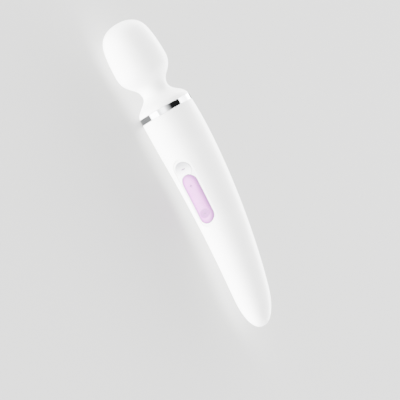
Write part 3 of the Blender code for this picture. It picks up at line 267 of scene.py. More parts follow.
def make_finish(name, light, dark, patch_mm, rough, grain_mm, relief_mm,
                grain="ShaderNodeTexNoise", stretch=(1.0, 1.0, 1.0), **shader_values):
    """Colour = mix of two hex colours by soft noise; roughness from the grain; height = grain x relief."""
    material = bpy.data.materials.new(name)
    material.use_nodes = True
    tree = material.node_tree
    shader = tree.nodes["Principled BSDF"]
    for socket, value in shader_values.items():
        shader.inputs[socket.replace("_", " ")].default_value = value
    where = add_node(tree, "ShaderNodeTexCoord")
    stretched = add_node(tree, "ShaderNodeMapping", Vector=where.outputs["Object"], Scale=stretch)
    drift = add_node(tree, "ShaderNodeTexNoise", Vector=where.outputs["Object"],
                     Scale=1.0 / (patch_mm * MM), Detail=3.0)
    colour = add_node(tree, "ShaderNodeValToRGB", Fac=drift.outputs["Fac"])
    low_stop, high_stop = colour.color_ramp.elements
    low_stop.position, high_stop.position = DRIFT_FROM, DRIFT_TO
    low_stop.color, high_stop.color = linear(dark), linear(light)
    fine = add_node(tree, grain, Vector=stretched.outputs["Vector"], Scale=1.0 / (grain_mm * MM))
    height = fine.outputs["Distance"] if grain == "ShaderNodeTexVoronoi" else fine.outputs["Fac"]
    gloss = add_node(tree, "ShaderNodeMapRange", Value=height, _3=rough[0], _4=rough[1])
    bump = add_node(tree, "ShaderNodeBump", Height=height, Distance=relief_mm * MM, Strength=1.0)
    tree.links.new(colour.outputs["Color"], shader.inputs["Base Color"])
    tree.links.new(gloss.outputs["Result"], shader.inputs["Roughness"])
    tree.links.new(bump.outputs["Normal"], shader.inputs["Normal"])
    return material


# %% [markdown]
# The outer body is liquid silicone, moulded in a fine-blasted tool and cured. To the eye it is a
# milky white that scatters light just under its skin, with a soft, even sheen and no hard glints.
# A blasted tool leaves a grain of about a fifth of a millimetre.

# %% Moulded white silicone
white_silicone = make_finish("moulded_white_silicone", "F7F7F6", "F1F1F0", 30.0, (0.42, 0.52), 0.35,
                             0.004, IOR=1.41, Subsurface_Weight=0.12, Subsurface_Scale=1.5 * MM,
                             Subsurface_Radius=(1.0, 0.95, 0.9), Sheen_Weight=0.06,
                             Sheen_Roughness=0.5)
print("made", white_silicone.name)

# %% [markdown]
# The soft cover of the head runs in one piece over the neck to the collar. It is made here in two halves
# that meet at the waist, where the neck tilts about two axes. The halves share the waist's ring, so no line
# shows between them.
# Each half is a turned shell: out along the outline, and back along the same outline moved inwards.

# %% Head and neck cover
SOFT_WALL = 1.4 * MM
HEAD_STEP, NECK_STEP = 0.8 * MM, 0.5 * MM
LIP = 0.35 * MM
RING_START, RING_END = 95.5 * MM, 101.5 * MM
RING_GAP = 0.08 * MM
ring_low, ring_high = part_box("trim_ring")
print("collar ring, mm:", round((ring_high.x - ring_low.x) / MM, 2), "wide")
TURN = np.linspace(0.0, 2.0 * np.pi, 145)


def shell_line(first, last, step, wall):
    """Outline out from first to last, then back along the outline moved inwards by the wall."""
    outer = along(first, last, step)
    inner = along(first, last, step * 2.0, wall)[::-1]
    if first == 0.0:
        inner[-1] = (wall, 0.0)
    inner[0, 0] = last
    return np.vstack((outer, inner, outer[:1])) if first > 0.0 else np.vstack((outer, inner))


def rounded_lip(line, size):
    """The shell's last outer corner replaced by a quarter round of the given size."""
    corner = int(np.argmax(line[:, 0]))
    angles = np.linspace(0.0, np.pi / 2.0, 6)
    end, out = line[corner]
    before = line[:corner][line[:corner, 0] < end - size]
    arc = np.column_stack((end - size + size * np.sin(angles), out - size + size * np.cos(angles)))
    return np.vstack((before, arc, line[corner + 1:]))


upper = shell_line(0.0, WAIST, HEAD_STEP, SOFT_WALL)
head_cover = make_piece("head_cover", [on_turn(upper, TURN)])
lower = rounded_lip(shell_line(WAIST, RING_START - RING_GAP, NECK_STEP, SOFT_WALL), LIP)
neck_cover = make_piece("neck_cover", [on_turn(lower, TURN)])

# %% The neck's pivot; the two halves take their finish and replace the model's sleeves
HEAD_BEND, HANDLE_BEND = 15.0 * MM, 14.0 * MM
pivot = place(WAIST, 0.0, 0.0)
toward_head = place(WAIST - HEAD_BEND, 0.0, 0.0)
toward_handle = place(WAIST + HANDLE_BEND, 0.0, 0.0)
for piece, nodes in ((head_cover, ["head_sleeve"]), (neck_cover, ["neck_sleeve", "shoulder_sleeve"])):
    piece.data.materials.append(white_silicone)
    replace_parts(piece, *nodes)
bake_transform(head_cover)
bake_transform(neck_cover)
print("waist radius, mm:", round(float(radius(WAIST)) / MM, 2))

# %% [markdown]
# The collar ring is ABS, plated with copper, nickel and a last thin film of chromium, so it is a
# true mirror with a cool tone. Its face is flat with softened edges. It is turned here from its
# cross-section: a rectangle with quarter rounds on the two outer corners. A point just inside each
# round keeps the smooth shading of the flat face flat, so that its reflections stay straight.

# %% Chrome collar ring
chrome = make_finish("polished_chrome_plate", "F3F4F6", "E9EBEE", 12.0, (0.02, 0.05), 0.8, 0.0004,
                     Metallic=1.0)
RING_OUTER = (ring_high.z - ring_low.z) / 2.0
RING_INNER = 26.3 * MM
EDGE = 0.15 * MM
FLAT_FROM = 1.4 * EDGE
quarter = np.linspace(0.0, np.pi / 2.0, 7)
near_round = np.column_stack((RING_START + EDGE - EDGE * np.cos(quarter),
                              RING_OUTER - EDGE + EDGE * np.sin(quarter)))
far_round = np.column_stack((RING_END - EDGE + EDGE * np.sin(quarter),
                             RING_OUTER - EDGE + EDGE * np.cos(quarter)))
flat_face = [[RING_START + FLAT_FROM, RING_OUTER], [RING_END - FLAT_FROM, RING_OUTER]]
back_edge = [[RING_END, RING_INNER], [RING_START, RING_INNER]]
ring_line = np.vstack(([[RING_START, RING_INNER]], near_round, flat_face, far_round, back_edge))
collar_ring = make_piece("collar_ring", [on_turn(ring_line, np.linspace(0.0, 2.0 * np.pi, 241))])
collar_ring.data.materials.append(chrome)
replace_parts(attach(collar_ring, "handle"), "trim_ring")

# %% [markdown]
# The handle's skin is a sleeve of the same silicone, 1.2 mm thick, with a long window for the
# controls and a small one on the back for the charging pad. A plain grid can't have a clean round
# hole, so a block of the grid is taken out and filled with rings that run from the block's square
# edge in to the window's round one. Every point still lies on the turned body.

# %% Windows in the handle skin
SKIN_WALL = 1.2 * MM
PANEL = (150.5 * MM, 226.2 * MM, 10.75 * MM)
CHARGE = (271.7 * MM, 290.3 * MM, 4.8 * MM)


def toward_stadium(station, side, stadium):
    """From the nearest point of the stadium's middle segment, go half a width towards the given point."""
    first, last, half = stadium
    foot = np.clip(station, first + half, last - half)
    reach = np.hypot(station - foot, side)
    return foot + (station - foot) * half / reach, side * half / reach


def window_rings(stations, angles, middle, stadium, shares):
    """Rings of a window: the window's edge and the block's edge mixed by share, laid on the turned body."""
    side = radius(stations) * np.sin(angles - middle)
    edge_station, edge_side = toward_stadium(stations, side, stadium)
    edge_angle = middle + np.arcsin(edge_side / radius(edge_station))
    share = np.array(shares)[:, None]
    station = edge_station + share * (stations - edge_station)
    angle = edge_angle + share * (angles - edge_angle)
    out = radius(station)
    return place(station, -out * np.cos(angle), out * np.sin(angle))


def block_edge(stations, angles, rows, columns):
    """The block's edge as one closed walk over the grid: up one side, across, and back."""
    (top, bottom), (left, right) = rows, columns
    row = np.concatenate((np.full(right - left, top), np.arange(top, bottom),
                          np.full(right - left, bottom), np.arange(bottom, top, -1), [top]))
    column = np.concatenate((np.arange(left, right), np.full(bottom - top, right),
                             np.arange(right, left, -1), np.full(bottom - top, left), [left]))
    return stations[row], angles[column]


# %% Handle skin
PANEL_BLOCK = (145.0 * MM, 231.0 * MM)
CHARGE_BLOCK = (266.0 * MM, 296.0 * MM)
PANEL_COLUMNS, CHARGE_COLUMNS = 14, 11
SKIN_STEP, TIP_STEP = 2.0 * MM, 1.4 * MM
BLOCK_SHARES = (0.0, 0.1, 0.25, 0.45, 0.7, 1.0)
sections = [(RING_END + RING_GAP, PANEL_BLOCK[0], SKIN_STEP), (*PANEL_BLOCK, SKIN_STEP),
            (PANEL_BLOCK[1], CHARGE_BLOCK[0], SKIN_STEP), (*CHARGE_BLOCK, SKIN_STEP),
            (CHARGE_BLOCK[1], TIP, TIP_STEP)]
lines = [along(*section) for section in sections]
counts = np.cumsum([0] + [len(line) - 1 for line in lines])
skin_line = np.vstack([line[:-1] for line in lines] + [lines[-1][-1:]])
skin_turn = np.radians(np.linspace(-90.0, 270.0, 145))
front, back = int(np.argmin(abs(skin_turn))), int(np.argmin(abs(skin_turn - np.pi)))
blocks = [((counts[1], counts[2]), (front - PANEL_COLUMNS, front + PANEL_COLUMNS), 0.0, PANEL),
          ((counts[3], counts[4]), (back - CHARGE_COLUMNS, back + CHARGE_COLUMNS), np.pi, CHARGE)]
keep = np.ones((len(skin_line) - 1, len(skin_turn) - 1), bool)
patches = [on_turn(skin_line, skin_turn)]
for rows, columns, middle, stadium in blocks:
    keep[rows[0]:rows[1], columns[0]:columns[1]] = False
    edge = block_edge(skin_line[:, 0], skin_turn, rows, columns)
    patches.append(window_rings(*edge, middle, stadium, BLOCK_SHARES))
handle_cover = make_piece("handle_cover", patches, keep)

# %% Wall and rounded rims of the skin
wall = handle_cover.modifiers.new("wall", "SOLIDIFY")
wall.thickness = SKIN_WALL
wall.offset = -1.0
rim = handle_cover.modifiers.new("rim", "BEVEL")
rim.width = LIP
rim.segments = 3
rim.limit_method = "ANGLE"
rim.angle_limit = math.radians(55.0)
handle_cover.data.materials.append(white_silicone)
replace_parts(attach(handle_cover, "handle"), "handle_skin")

# %% [markdown]
# The surround of the controls is a hard ABS frame that sits a little below the skin. It fills the
# window's edge and leaves two openings that run into each other, one round for the power button
# and one long for the speed rocker. It is a band carried round the window: for each point of the
# outer edge, a straight ray towards the window's middle line finds the opening's edge.

# %% Satin white ABS
white_abs = make_finish("satin_white_abs", "F3F3F2", "ECECEB", 40.0, (0.30, 0.38), 0.25, 0.003,
                        IOR=1.53, Subsurface_Weight=0.05, Subsurface_Scale=0.8 * MM)
print("made", white_abs.name)

# %% The two key openings
BUTTON_STATION, BUTTON_RADIUS = 162.7 * MM, 9.35 * MM
ROCKER_START, ROCKER_END, ROCKER_HALF = 168.2 * MM, 223.0 * MM, 9.1 * MM
PANEL_DEPTH = 0.6 * MM
KEY_GAP = 0.15 * MM
CORNER_BLEND = 0.35 * MM
STRAIGHT_ACROSS = 1e-6
PLAIN_SHARE = 0.9


def disc_exit(foot, along_x, along_z, centre, size):
    """How far a ray from the middle line goes before it leaves a disc; 0 where it misses."""
    ahead = (centre - foot) * along_x
    off = (centre - foot) * along_z
    inside = size ** 2 - off ** 2
    return np.where(inside > 0.0, ahead + np.sqrt(np.maximum(inside, 0.0)), 0.0)


def opening_exit(foot, along_x, along_z):
    """Furthest exit of button, rocker ends and sides, softened by b x ln(sum of e^(exit / b))."""
    size = ROCKER_HALF + KEY_GAP
    low, high = ROCKER_START + ROCKER_HALF, ROCKER_END - ROCKER_HALF
    beside = (foot >= low) & (foot <= high) & (np.abs(along_x) < STRAIGHT_ACROSS)
    reach = np.stack((disc_exit(foot, along_x, along_z, BUTTON_STATION, BUTTON_RADIUS + KEY_GAP),
                      disc_exit(foot, along_x, along_z, low, size),
                      disc_exit(foot, along_x, along_z, high, size),
                      np.where(beside, size, 0.0)))
    hard = reach.max(axis=0)
    spread = CORNER_BLEND * np.log(np.exp((reach - hard) / CORNER_BLEND).sum(axis=0))
    return hard + np.where(hard < size * PLAIN_SHARE, spread, 0.0)


# %% Control surround
def stadium_walk(first, last, half, arc=48, straight=150):
    """Feet on the middle line and unit directions, once round a stadium."""
    low, high = first + half, last - half
    swing = np.linspace(-np.pi / 2.0, np.pi / 2.0, arc)
    run = np.linspace(0.0, 1.0, straight)[1:-1]
    foot = np.concatenate((np.full(arc, high), high + (low - high) * run, np.full(arc, low),
                           low + (high - low) * run, [high]))
    x = np.concatenate((np.cos(swing), np.zeros(straight - 2), -np.cos(swing), np.zeros(straight - 2),
                        [np.cos(swing[0])]))
    z = np.concatenate((np.sin(swing), np.ones(straight - 2), -np.sin(swing), -np.ones(straight - 2),
                        [np.sin(swing[0])]))
    return foot, x, z


WINDOW_GAP = 0.12 * MM
outer_half = PANEL[2] - WINDOW_GAP
foot, ray_x, ray_z = stadium_walk(PANEL[0] + WINDOW_GAP, PANEL[1] - WINDOW_GAP, outer_half)
outer_reach = np.full(len(foot), outer_half)
inner_reach = opening_exit(foot, ray_x, ray_z)
# the band's section: share of the way from the window to the opening, a shift and a depth in mm
band = [(0.0, 0.0, 2.2), (0.0, 0.0, 0.85), (0.0, -0.25, 0.6), (0.0, -0.6, 0.6), (0.5, 0.0, 0.6),
        (1.0, 0.5, 0.6), (1.0, 0.3, 0.6), (1.0, 0.1, 0.7), (1.0, 0.0, 0.95), (1.0, 0.0, 2.0),
        (1.0, 0.0, 4.6), (1.0, 0.3, 4.6), (0.0, 0.0, 2.2)]
layers = []
for share, shift, depth in band:
    reach = outer_reach + share * (inner_reach - outer_reach) + shift * MM
    layers.append(on_front(foot + ray_x * reach, ray_z * reach, depth * MM))
surround = make_piece("control_surround", [np.stack(layers)])
surround.data.materials.append(white_abs)
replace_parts(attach(surround, "handle"), "control_bezel")

# %% [markdown]
# The power button is a soft white key with a hollowed face that catches a fingertip. Its round
# edge is bitten into by the rocker. Seen from its own centre each direction has one edge, so it
# is a polar surface: rings from the centre to the edge, a rounded rim, and a straight side.
# A corner attribute greys the hollow towards the head, where it is deepest. This grey is painted shade: the
# key itself is white, and the grey stands in for the shade inside the hollow's head side.

# %% A finish that darkens by painted shade
def mix_painted_shade(finish, code):
    """Painted shade: the finish's colour mixed towards a darker one by the piece's shade attribute, 0 to 1.
    """
    tree = finish.node_tree
    paint = tree.nodes["Principled BSDF"].inputs["Base Color"]
    painted_shade = add_node(tree, "ShaderNodeAttribute", {"attribute_name": "painted_shade"})
    mixed = add_node(tree, "ShaderNodeMix", {"data_type": "RGBA"}, _0=painted_shade.outputs["Fac"],
                     _6=paint.links[0].from_socket, _7=linear(code))
    tree.links.new(mixed.outputs[2], paint)


def straight(piece):
    """Each corner's station and side: the bend undone, station = start + radius x atan2 of its offsets."""
    corners = np.empty(len(piece.data.vertices) * 3)
    piece.data.vertices.foreach_get("co", corners)
    offset = corners.reshape(-1, 3) - CROWN
    turn = np.arctan2(offset[:, 0] - BEND_START, offset[:, 1] + BEND_RADIUS)
    return BEND_START + turn * BEND_RADIUS, offset[:, 2]


def rise(value, low, high):
    """Smooth step: q^2 (3 - 2q) with q the share of the way from low to high."""
    q = np.clip((value - low) / (high - low), 0.0, 1.0)
    return q ** 2 * (3.0 - 2.0 * q)


key_silicone = make_finish("moulded_key_silicone", "F4F4F4", "EEEEEF", 9.0, (0.36, 0.46), 0.3, 0.003,
                           IOR=1.41, Subsurface_Weight=0.1, Subsurface_Scale=1.5 * MM,
                           Subsurface_Radius=(1.0, 0.95, 0.9))
# The grey that the hollow's painted shade mixes towards.
mix_painted_shade(key_silicone, "98989C")
print("made", key_silicone.name)


def store_painted_shade(piece, values):
    """Store the painted shade, one value for each corner of the piece, as the attribute the finish reads.
    """
    painted_shade = piece.data.attributes.new("painted_shade", "FLOAT", "POINT")
    painted_shade.data.foreach_set("value", values)



# %% Power button
BUTTON_DISH, BUTTON_LEAN = 2.0 * MM, 0.5
BUTTON_PROUD = 0.25 * MM
# How the hollow's painted shade leans: a little across, mostly towards the head.
SHADE_ACROSS, SHADE_ALONG = 0.2, 0.98
ROUND = 0.45 * MM
KEY_FOOT = 4.8 * MM
swing = np.linspace(0.0, 2.0 * np.pi, 181)
bite = ROCKER_HALF + 2.0 * KEY_GAP
ahead = ROCKER_START + ROCKER_HALF - BUTTON_STATION
miss = np.maximum(bite ** 2 - (ahead * np.sin(swing)) ** 2, 0.0)
near_edge = ahead * np.cos(swing) - np.sqrt(miss)
faces_rocker = (miss > 0.0) & (np.cos(swing) > 0.0)
button_edge = np.where(faces_rocker, np.minimum(near_edge, BUTTON_RADIUS), BUTTON_RADIUS)


def key_layers(reach_of, depth_of, rings):
    """Rings of a key's face from its middle out, a quarter-round rim, then a side and an underside."""
    layers = [reach_of(share, 0.0, depth_of) for share in np.linspace(0.0, 1.0, rings)]
    for turn in np.linspace(0.0, np.pi / 2.0, 5)[1:]:
        drop = ROUND * (1 - np.cos(turn))
        layers.append(reach_of(1.0, ROUND * np.sin(turn), lambda s, z: depth_of(s, z) + drop))
    layers.append(reach_of(1.0, ROUND, lambda s, z: np.full_like(s, KEY_FOOT)))
    layers.append(reach_of(0.0, 0.0, lambda s, z: np.full_like(s, KEY_FOOT)))
    return np.stack(layers)


def dish_depth(station, side):
    """Hollow: dish x (1 - (distance / radius)^2) x (1 - lean x share along), deepest near the head."""
    share = np.hypot(station - BUTTON_STATION, side) / BUTTON_RADIUS
    share_along = (station - BUTTON_STATION) / BUTTON_RADIUS
    bowl = BUTTON_DISH * np.maximum(1.0 - share ** 2, 0.0)
    return PANEL_DEPTH - BUTTON_PROUD + bowl * (1.0 - BUTTON_LEAN * share_along)


def button_ring(share, beyond, depth_of):
    """A ring of the button's face at a share of its edge distance."""
    reach = share * (button_edge - ROUND) + beyond
    station, side = BUTTON_STATION + reach * np.cos(swing), reach * np.sin(swing)
    return on_front(station, side, depth_of(station, side))


power_key = make_piece("power_key", [key_layers(button_ring, dish_depth, 14)])
# Painted shade on the hollow: grey rising towards its head-side rim.
station, side = straight(power_key)
headwards = (SHADE_ACROSS * side - SHADE_ALONG * (station - BUTTON_STATION)) / BUTTON_RADIUS
store_painted_shade(power_key, rise(headwards, -0.7, 0.85))
power_key.data.materials.append(key_silicone)
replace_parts(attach(power_key, "power_button"), "power_button")

# %% [markdown]
# The speed rocker is a long pill of clear lilac silicone. Light goes some way into it, so it glows softly.
# Its face is crowned across, with a shallow finger dip at the head end and a deeper one at the other. The
# face is made of stadium rings round its middle line. A corner attribute darkens its colour towards the
# edge, a little more on the upper side, and in the lower dip: this is painted shade, where the crowned
# sides and the dip's wall turn away from the light.

# %% Translucent lilac silicone
lilac_silicone = make_finish("translucent_lilac_silicone", "C570C4", "BE69BE", 14.0, (0.22, 0.30), 0.5,
                             0.002, IOR=1.41, Subsurface_Weight=0.35, Subsurface_Scale=2.5 * MM,
                             Subsurface_Radius=(1.0, 0.75, 1.0), Transmission_Weight=0.15,
                             Coat_Weight=0.15, Coat_Roughness=0.15)
# The deeper lilac that the rocker's painted shade mixes towards.
mix_painted_shade(lilac_silicone, "8C4892")
print("made", lilac_silicone.name)

# %% Speed rocker
UP_DIP, DOWN_DIP = 180.4 * MM, 212.2 * MM
ROCKER_DEPTH, ROCKER_CROWN = 0.1 * MM, 0.9 * MM
# each dip's place, and its depth, half length and half width in mm
DIPS = ((UP_DIP, 0.3, 7.0, 7.0), (DOWN_DIP, 1.15, 5.6, 7.8))
# Size and strength of the painted shade in the lower dip.
DIP_SHADE_LONG, DIP_SHADE_WIDE, DIP_SHADE_STRENGTH = 5.4 * MM, 7.2 * MM, 0.8
rocker_foot, rocker_x, rocker_z = stadium_walk(ROCKER_START, ROCKER_END, ROCKER_HALF, arc=40, straight=70)


def rocker_depth(station, side):
    """Crown across the pill, less two round dips: depth x (1 - q)^2 (1 + 2q) with q the distance share."""
    depth = ROCKER_DEPTH + ROCKER_CROWN * (side / ROCKER_HALF) ** 2
    for centre, deep, long, wide in DIPS:
        q = np.minimum(np.hypot((station - centre) / (long * MM), side / (wide * MM)), 1.0)
        depth = depth + deep * MM * (1.0 - q) ** 2 * (1.0 + 2.0 * q)
    return depth


def rocker_ring(share, beyond, depth_of):
    """A stadium ring at a share of the half width round the pill's middle line."""
    reach = share * (ROCKER_HALF - ROUND) + beyond
    station, side = rocker_foot + rocker_x * reach, rocker_z * reach
    return on_front(station, side, depth_of(station, side))


rocker_key = make_piece("rocker_key", [key_layers(rocker_ring, rocker_depth, 16)])
# Painted shade: darker towards the edge, a little more on the upper side, and in the lower dip.
station, side = straight(rocker_key)
foot = np.clip(station, ROCKER_START + ROCKER_HALF, ROCKER_END - ROCKER_HALF)
edge_share = np.hypot(station - foot, side) / ROCKER_HALF
dip_share = np.hypot((station - DOWN_DIP) / DIP_SHADE_LONG, side / DIP_SHADE_WIDE)
edge_painted_shade = rise(edge_share + 0.05 * side / ROCKER_HALF, 0.5, 1.02)
dip_painted_shade = DIP_SHADE_STRENGTH * (1.0 - rise(dip_share, 0.75, 1.0))
store_painted_shade(rocker_key, np.maximum(edge_painted_shade, dip_painted_shade))
rocker_key.data.materials.append(lilac_silicone)
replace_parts(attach(rocker_key, "rocker"), "speed_rocker")

# %% [markdown]
# Plain marks tell the thumb what each key does: a short slanted bar for power, and a plus and a
# minus for speed. They are printed in a dusky violet-grey and lie as a film on the key's face, so
# each is a narrow strip that follows the face a few hundredths of a millimetre above it.

# %% Printed marks
print_grey = make_finish("pad_printed_grey", "5C3C64", "52345A", 5.0, (0.45, 0.55), 0.3, 0.001,
                         IOR=1.5)
# the film's section: share of the width across, and lift above the face in mm
FILM_SECTION = ((-0.5, -0.05), (-0.5, 0.03), (0.5, 0.03), (0.5, -0.05), (-0.5, -0.05))


def mark_strip(name, station, side, width, depth_of, body):
    """A strip of constant width along a line on a key's face, lifted by a film's thickness."""
    path = np.column_stack((station, side))
    run = np.gradient(path, axis=0)
    run /= np.linalg.norm(run, axis=1)[:, None]
    across = np.column_stack((-run[:, 1], run[:, 0]))
    rows = []
    for offset, lift in FILM_SECTION:
        edge = path + offset * width * across
        face = depth_of(edge[:, 0], edge[:, 1])
        rows.append(on_front(edge[:, 0], edge[:, 1], face - lift * MM))
    piece = make_piece(name, [np.stack(rows)])
    shape = bmesh.new()
    shape.from_mesh(piece.data)
    bmesh.ops.holes_fill(shape, edges=[edge for edge in shape.edges if edge.is_boundary])
    bmesh.ops.recalc_face_normals(shape, faces=shape.faces)
    shape.to_mesh(piece.data)
    shape.free()
    piece.data.materials.append(print_grey)
    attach(piece, body)


BAR_WIDTH, SIGN_WIDTH = 1.2 * MM, 0.65 * MM
BAR_STATION = BUTTON_STATION - 1.4 * MM
line = np.linspace(-1.6, 1.6, 10) * MM
still = np.zeros(len(line))
mark_strip("power_mark", BAR_STATION + 0.1 * line, 1.3 * line, BAR_WIDTH, dish_depth,
           "power_button")
for name, station, side in (("plus_mark_long", UP_DIP + line, still),
                            ("plus_mark_cross", UP_DIP + still, line),
                            ("minus_mark", DOWN_DIP + still, line)):
    mark_strip(name, station, side, SIGN_WIDTH, rocker_depth, "rocker")

# %% [markdown]
# Inside are the parts that do the work: motor, cells, board, springs and screws. They keep the
# model's own shapes, and each takes the finish of its real material.

# %% Finishes of the inner parts
steel = make_finish("ground_steel", "C9CBCE", "B4B7BB", 8.0, (0.22, 0.38), 0.25, 0.001,
                    stretch=(1.0, 8.0, 8.0), Metallic=1.0)
brass = make_finish("turned_brass", "E0BE6E", "CFA955", 6.0, (0.2, 0.32), 0.3, 0.001, Metallic=1.0)
copper = make_finish("enamelled_copper_wire", "C9774A", "A85B34", 5.0, (0.22, 0.36), 0.45, 0.06,
                     grain="ShaderNodeTexWave", Metallic=1.0)
bronze = make_finish("sintered_bronze", "A8814F", "8C683B", 4.0, (0.35, 0.55), 0.2, 0.01,
                     grain="ShaderNodeTexVoronoi", Metallic=1.0)
ferrite = make_finish("pressed_ferrite", "4A4A4D", "39393B", 5.0, (0.45, 0.65), 0.25, 0.006,
                      grain="ShaderNodeTexVoronoi", Metallic=0.4)
rubber = make_finish("moulded_black_rubber", "2A2A2B", "222223", 8.0, (0.6, 0.78), 0.4, 0.008,
                     IOR=1.52)
nylon = make_finish("glass_filled_grey_nylon", "5B5D60", "4D4F52", 10.0, (0.4, 0.56), 0.3, 0.008,
                    stretch=(1.0, 3.0, 1.0), IOR=1.53)
solder_mask = make_finish("green_solder_mask", "1F6B43", "175535", 3.0, (0.22, 0.4), 0.9, 0.02,
                          grain="ShaderNodeTexVoronoi", IOR=1.55)
cell_film = make_finish("blue_shrink_film", "3E74B8", "3567A8", 20.0, (0.2, 0.3), 3.0, 0.01,
                        IOR=1.54)
wire_jacket = make_finish("red_wire_jacket", "B8322B", "A22822", 6.0, (0.3, 0.42), 0.5, 0.004,
                          IOR=1.53)

# %% Every carried-over part takes its finish
FINISHES = {"white_silicone": white_silicone, "white_plastic": white_abs, "grey_plastic": nylon,
            "lilac_silicone": lilac_silicone, "chrome": chrome, "steel": steel, "brass": brass,
            "copper": copper, "bronze": bronze, "magnet": ferrite, "black_rubber": rubber,
            "circuit_board": solder_mask, "cell_wrap": cell_film, "red_wire": wire_jacket}
slots = {part["node"]: part["material_slot"] for part in frame["record"]["subparts"]}
for name, node in frame["nodes"].items():
    node.data.materials.clear()
    node.data.materials.append(FINISHES[slots[name]])
print("finishes given to", len(slots), "parts")

# %% [markdown]
# Two inner parts cross the neck: the closed spring that lets the head give, and the motor's leads
# inside it. A part that rides on one body alone would swing out of its seat when the head tilts.
# So each is cut at the pivot into two halves, with the cut ends closed.


def neck_half(node_name, half_name, at_head):
    """The part of a node's mesh on one side of the pivot's plane, with its cut ends closed."""
    shape = bmesh.new()
    shape.from_mesh(frame["nodes"][node_name].data)
    bmesh.ops.remove_doubles(shape, verts=shape.verts, dist=SLIVER)
    everything = shape.verts[:] + shape.edges[:] + shape.faces[:]
    bmesh.ops.bisect_plane(shape, geom=everything, plane_co=tuple(pivot), plane_no=(1.0, 0.0, 0.0),
                           clear_outer=at_head, clear_inner=not at_head)
    bmesh.ops.holes_fill(shape, edges=[edge for edge in shape.edges if edge.is_boundary])
    bmesh.ops.recalc_face_normals(shape, faces=shape.faces)
    mesh = bpy.data.meshes.new(half_name)
    shape.to_mesh(mesh)
    shape.free()
    mesh.materials.append(FINISHES[slots[node_name]])
    piece = to_object(half_name, mesh, 50.0)
    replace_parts(piece, node_name)
    return piece


for node_name in ("neck_spring", "motor_leads"):
    head_half = neck_half(node_name, node_name + "_head_half", True)
    handle_half = neck_half(node_name, node_name + "_handle_half", False)
    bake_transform(head_half)
    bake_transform(handle_half)
    print(node_name, "faces:", len(head_half.data.polygons), len(handle_half.data.polygons))

# %% [markdown]
# The camera looks at the controls from the front and a third of the way up, through a long lens
# from two metres, so that the outline is nearly free of perspective. It is rolled so that the head
# is at the upper left.

# %% Camera
VIEW_TURN, VIEW_RISE, VIEW_ROLL = math.radians(1.42), math.radians(33.33), math.radians(60.87)
VIEW_DISTANCE = 2.0
LENS, SENSOR = 180.4, 36.0
MIDDLE = np.array([0.0, 0.0, 0.028])
SHIFT_RIGHT, SHIFT_DOWN = 6.3 * MM, 28.6 * MM
ahead_axis = np.array([math.sin(VIEW_TURN) * math.cos(VIEW_RISE),
                       math.cos(VIEW_TURN) * math.cos(VIEW_RISE), -math.sin(VIEW_RISE)])
level = np.cross(ahead_axis, (0.0, 0.0, 1.0))
level /= np.linalg.norm(level)
upright = np.cross(level, ahead_axis)
right = math.cos(VIEW_ROLL) * level + math.sin(VIEW_ROLL) * upright
up = math.cos(VIEW_ROLL) * upright - math.sin(VIEW_ROLL) * level
spot = MIDDLE + SHIFT_RIGHT * right - SHIFT_DOWN * up
camera = bpy.data.objects.new("camera", bpy.data.cameras.new("camera"))
camera.data.lens = LENS
camera.data.sensor_width = SENSOR
camera.data.clip_end = 50.0
turn = np.eye(4)
turn[:3, 0], turn[:3, 1], turn[:3, 2] = right, up, -ahead_axis
turn[:3, 3] = spot - VIEW_DISTANCE * ahead_axis
camera.matrix_world = Matrix(turn.tolist())
bpy.context.scene.collection.objects.link(camera)
bpy.context.scene.camera = camera
print("camera at", np.round(turn[:3, 3], 3))

# %% [markdown]
# A photographer lights white goods with long soft panels parallel to the product, and leaves a dark
# gap between two of them, so that the edge of each shows in polished parts and the white body gets
# a gentle grey band that tells its shape. Here the sky is those panels: its brightness depends
# on the angle round the wand's long axis, falls a little from the head's end to the tip's, and
# keeps only a small share of itself below the horizon.

# %% Soft studio sky
PANEL_LIGHT = 36.0
HEAD_SHARE, TIP_SHARE, BELOW_SHARE = 1.1, 0.9, 0.12
world = bpy.data.worlds.new("studio")
bpy.context.scene.world = world
world.use_nodes = True
sky = world.node_tree
direction = add_node(sky, "ShaderNodeTexCoord")
parts = add_node(sky, "ShaderNodeSeparateXYZ", Vector=direction.outputs["Generated"])
front_amount = add_node(sky, "ShaderNodeMath", {"operation": "MULTIPLY"}, _0=parts.outputs["Y"], _1=-1.0)
angle = add_node(sky, "ShaderNodeMath", {"operation": "ARCTAN2"}, _0=parts.outputs["Z"],
                 _1=front_amount.outputs[0])
share = add_node(sky, "ShaderNodeMapRange", Value=angle.outputs[0], _1=0.0, _2=math.pi)
panels = add_node(sky, "ShaderNodeValToRGB", Fac=share.outputs["Result"])
ramp = panels.color_ramp
# each stop: degrees round the axis from the front horizon, and brightness
stops = [(0.0, 4.0), (6.0, 4.6), (16.0, 7.6), (28.0, 7.0), (36.0, 3.0), (43.0, 1.25), (54.0, 0.25),
         (60.0, 0.02), (102.0, 0.02), (103.0, 12.0), (122.0, 9.0), (145.0, 8.0), (150.0, 14.0),
         (161.0, 18.0), (166.0, 36.0), (180.0, 36.0)]
for number, (degrees, bright) in enumerate(stops):
    stop = ramp.elements[number] if number < 2 else ramp.elements.new(degrees / 180.0)
    stop.position = degrees / 180.0
    level_grey = bright / PANEL_LIGHT
    stop.color = (level_grey, level_grey, level_grey, 1.0)
dimmer = add_node(sky, "ShaderNodeMapRange", Value=parts.outputs["X"], _1=-1.0, _2=1.0,
                  _3=HEAD_SHARE * PANEL_LIGHT, _4=TIP_SHARE * PANEL_LIGHT)
above = add_node(sky, "ShaderNodeMapRange", Value=parts.outputs["Z"], _1=-0.02, _2=0.0,
                 _3=BELOW_SHARE)
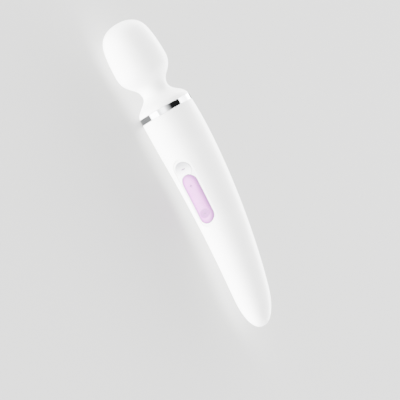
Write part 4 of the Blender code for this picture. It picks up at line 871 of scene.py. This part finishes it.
strength = add_node(sky, "ShaderNodeMath", {"operation": "MULTIPLY"}, _0=dimmer.outputs["Result"],
                    _1=above.outputs["Result"])
background = sky.nodes["Background"]
sky.links.new(panels.outputs["Color"], background.inputs["Color"])
sky.links.new(strength.outputs[0], background.inputs["Strength"])
print("sky stops:", len(stops))

# %% [markdown]
# The wand lies on matt pale paper. A white table throws light back up under a product, so two long
# lamps shine up from below the table line. The paper casts no shadow, so their light gets through.

# %% Pale floor and two soft lamps
FLOOR_HALF = 12.0
LAMP_DISTANCE = 1.6
LAMP_MIDDLE = np.array([-0.3, 0.0, 0.03])
floor = bpy.data.objects.new("floor", bpy.data.meshes.new("floor"))
floor_corners = [(-FLOOR_HALF, -FLOOR_HALF, 0), (FLOOR_HALF, -FLOOR_HALF, 0),
                 (FLOOR_HALF, FLOOR_HALF, 0), (-FLOOR_HALF, FLOOR_HALF, 0)]
floor.data.from_pydata(floor_corners, [], [(0, 1, 2, 3)])
bpy.context.scene.collection.objects.link(floor)
pale_paper = make_finish("matt_pale_paper", "ACACAB", "AAAAA9", 400.0, (0.85, 0.95), 2.0, 0.01)
floor.data.materials.append(pale_paper)
floor.visible_shadow = False
floor.visible_glossy = False


def soft_lamp(name, degrees, size, power, mirrored):
    """A soft panel facing the wand, at an angle round its long axis from 0 at the front horizon."""
    lamp = bpy.data.objects.new(name, bpy.data.lights.new(name, "AREA"))
    lamp.data.shape = "RECTANGLE"
    lamp.data.size, lamp.data.size_y = size
    lamp.data.energy = power
    lift = math.radians(degrees)
    back_way = np.array([0.0, -math.cos(lift), math.sin(lift)])
    facing = np.eye(4)
    facing[:3, 0] = (1.0, 0.0, 0.0)
    facing[:3, 1] = np.cross(back_way, (1.0, 0.0, 0.0))
    facing[:3, 2] = back_way
    facing[:3, 3] = LAMP_DISTANCE * back_way + LAMP_MIDDLE
    lamp.matrix_world = Matrix(facing.tolist())
    lamp.visible_glossy = mirrored
    bpy.context.scene.collection.objects.link(lamp)


soft_lamp("table_panel", -22.0, (2.6, 1.2), 150.0, True)
soft_lamp("low_fill", -50.0, (2.6, 0.86), 340.0, False)
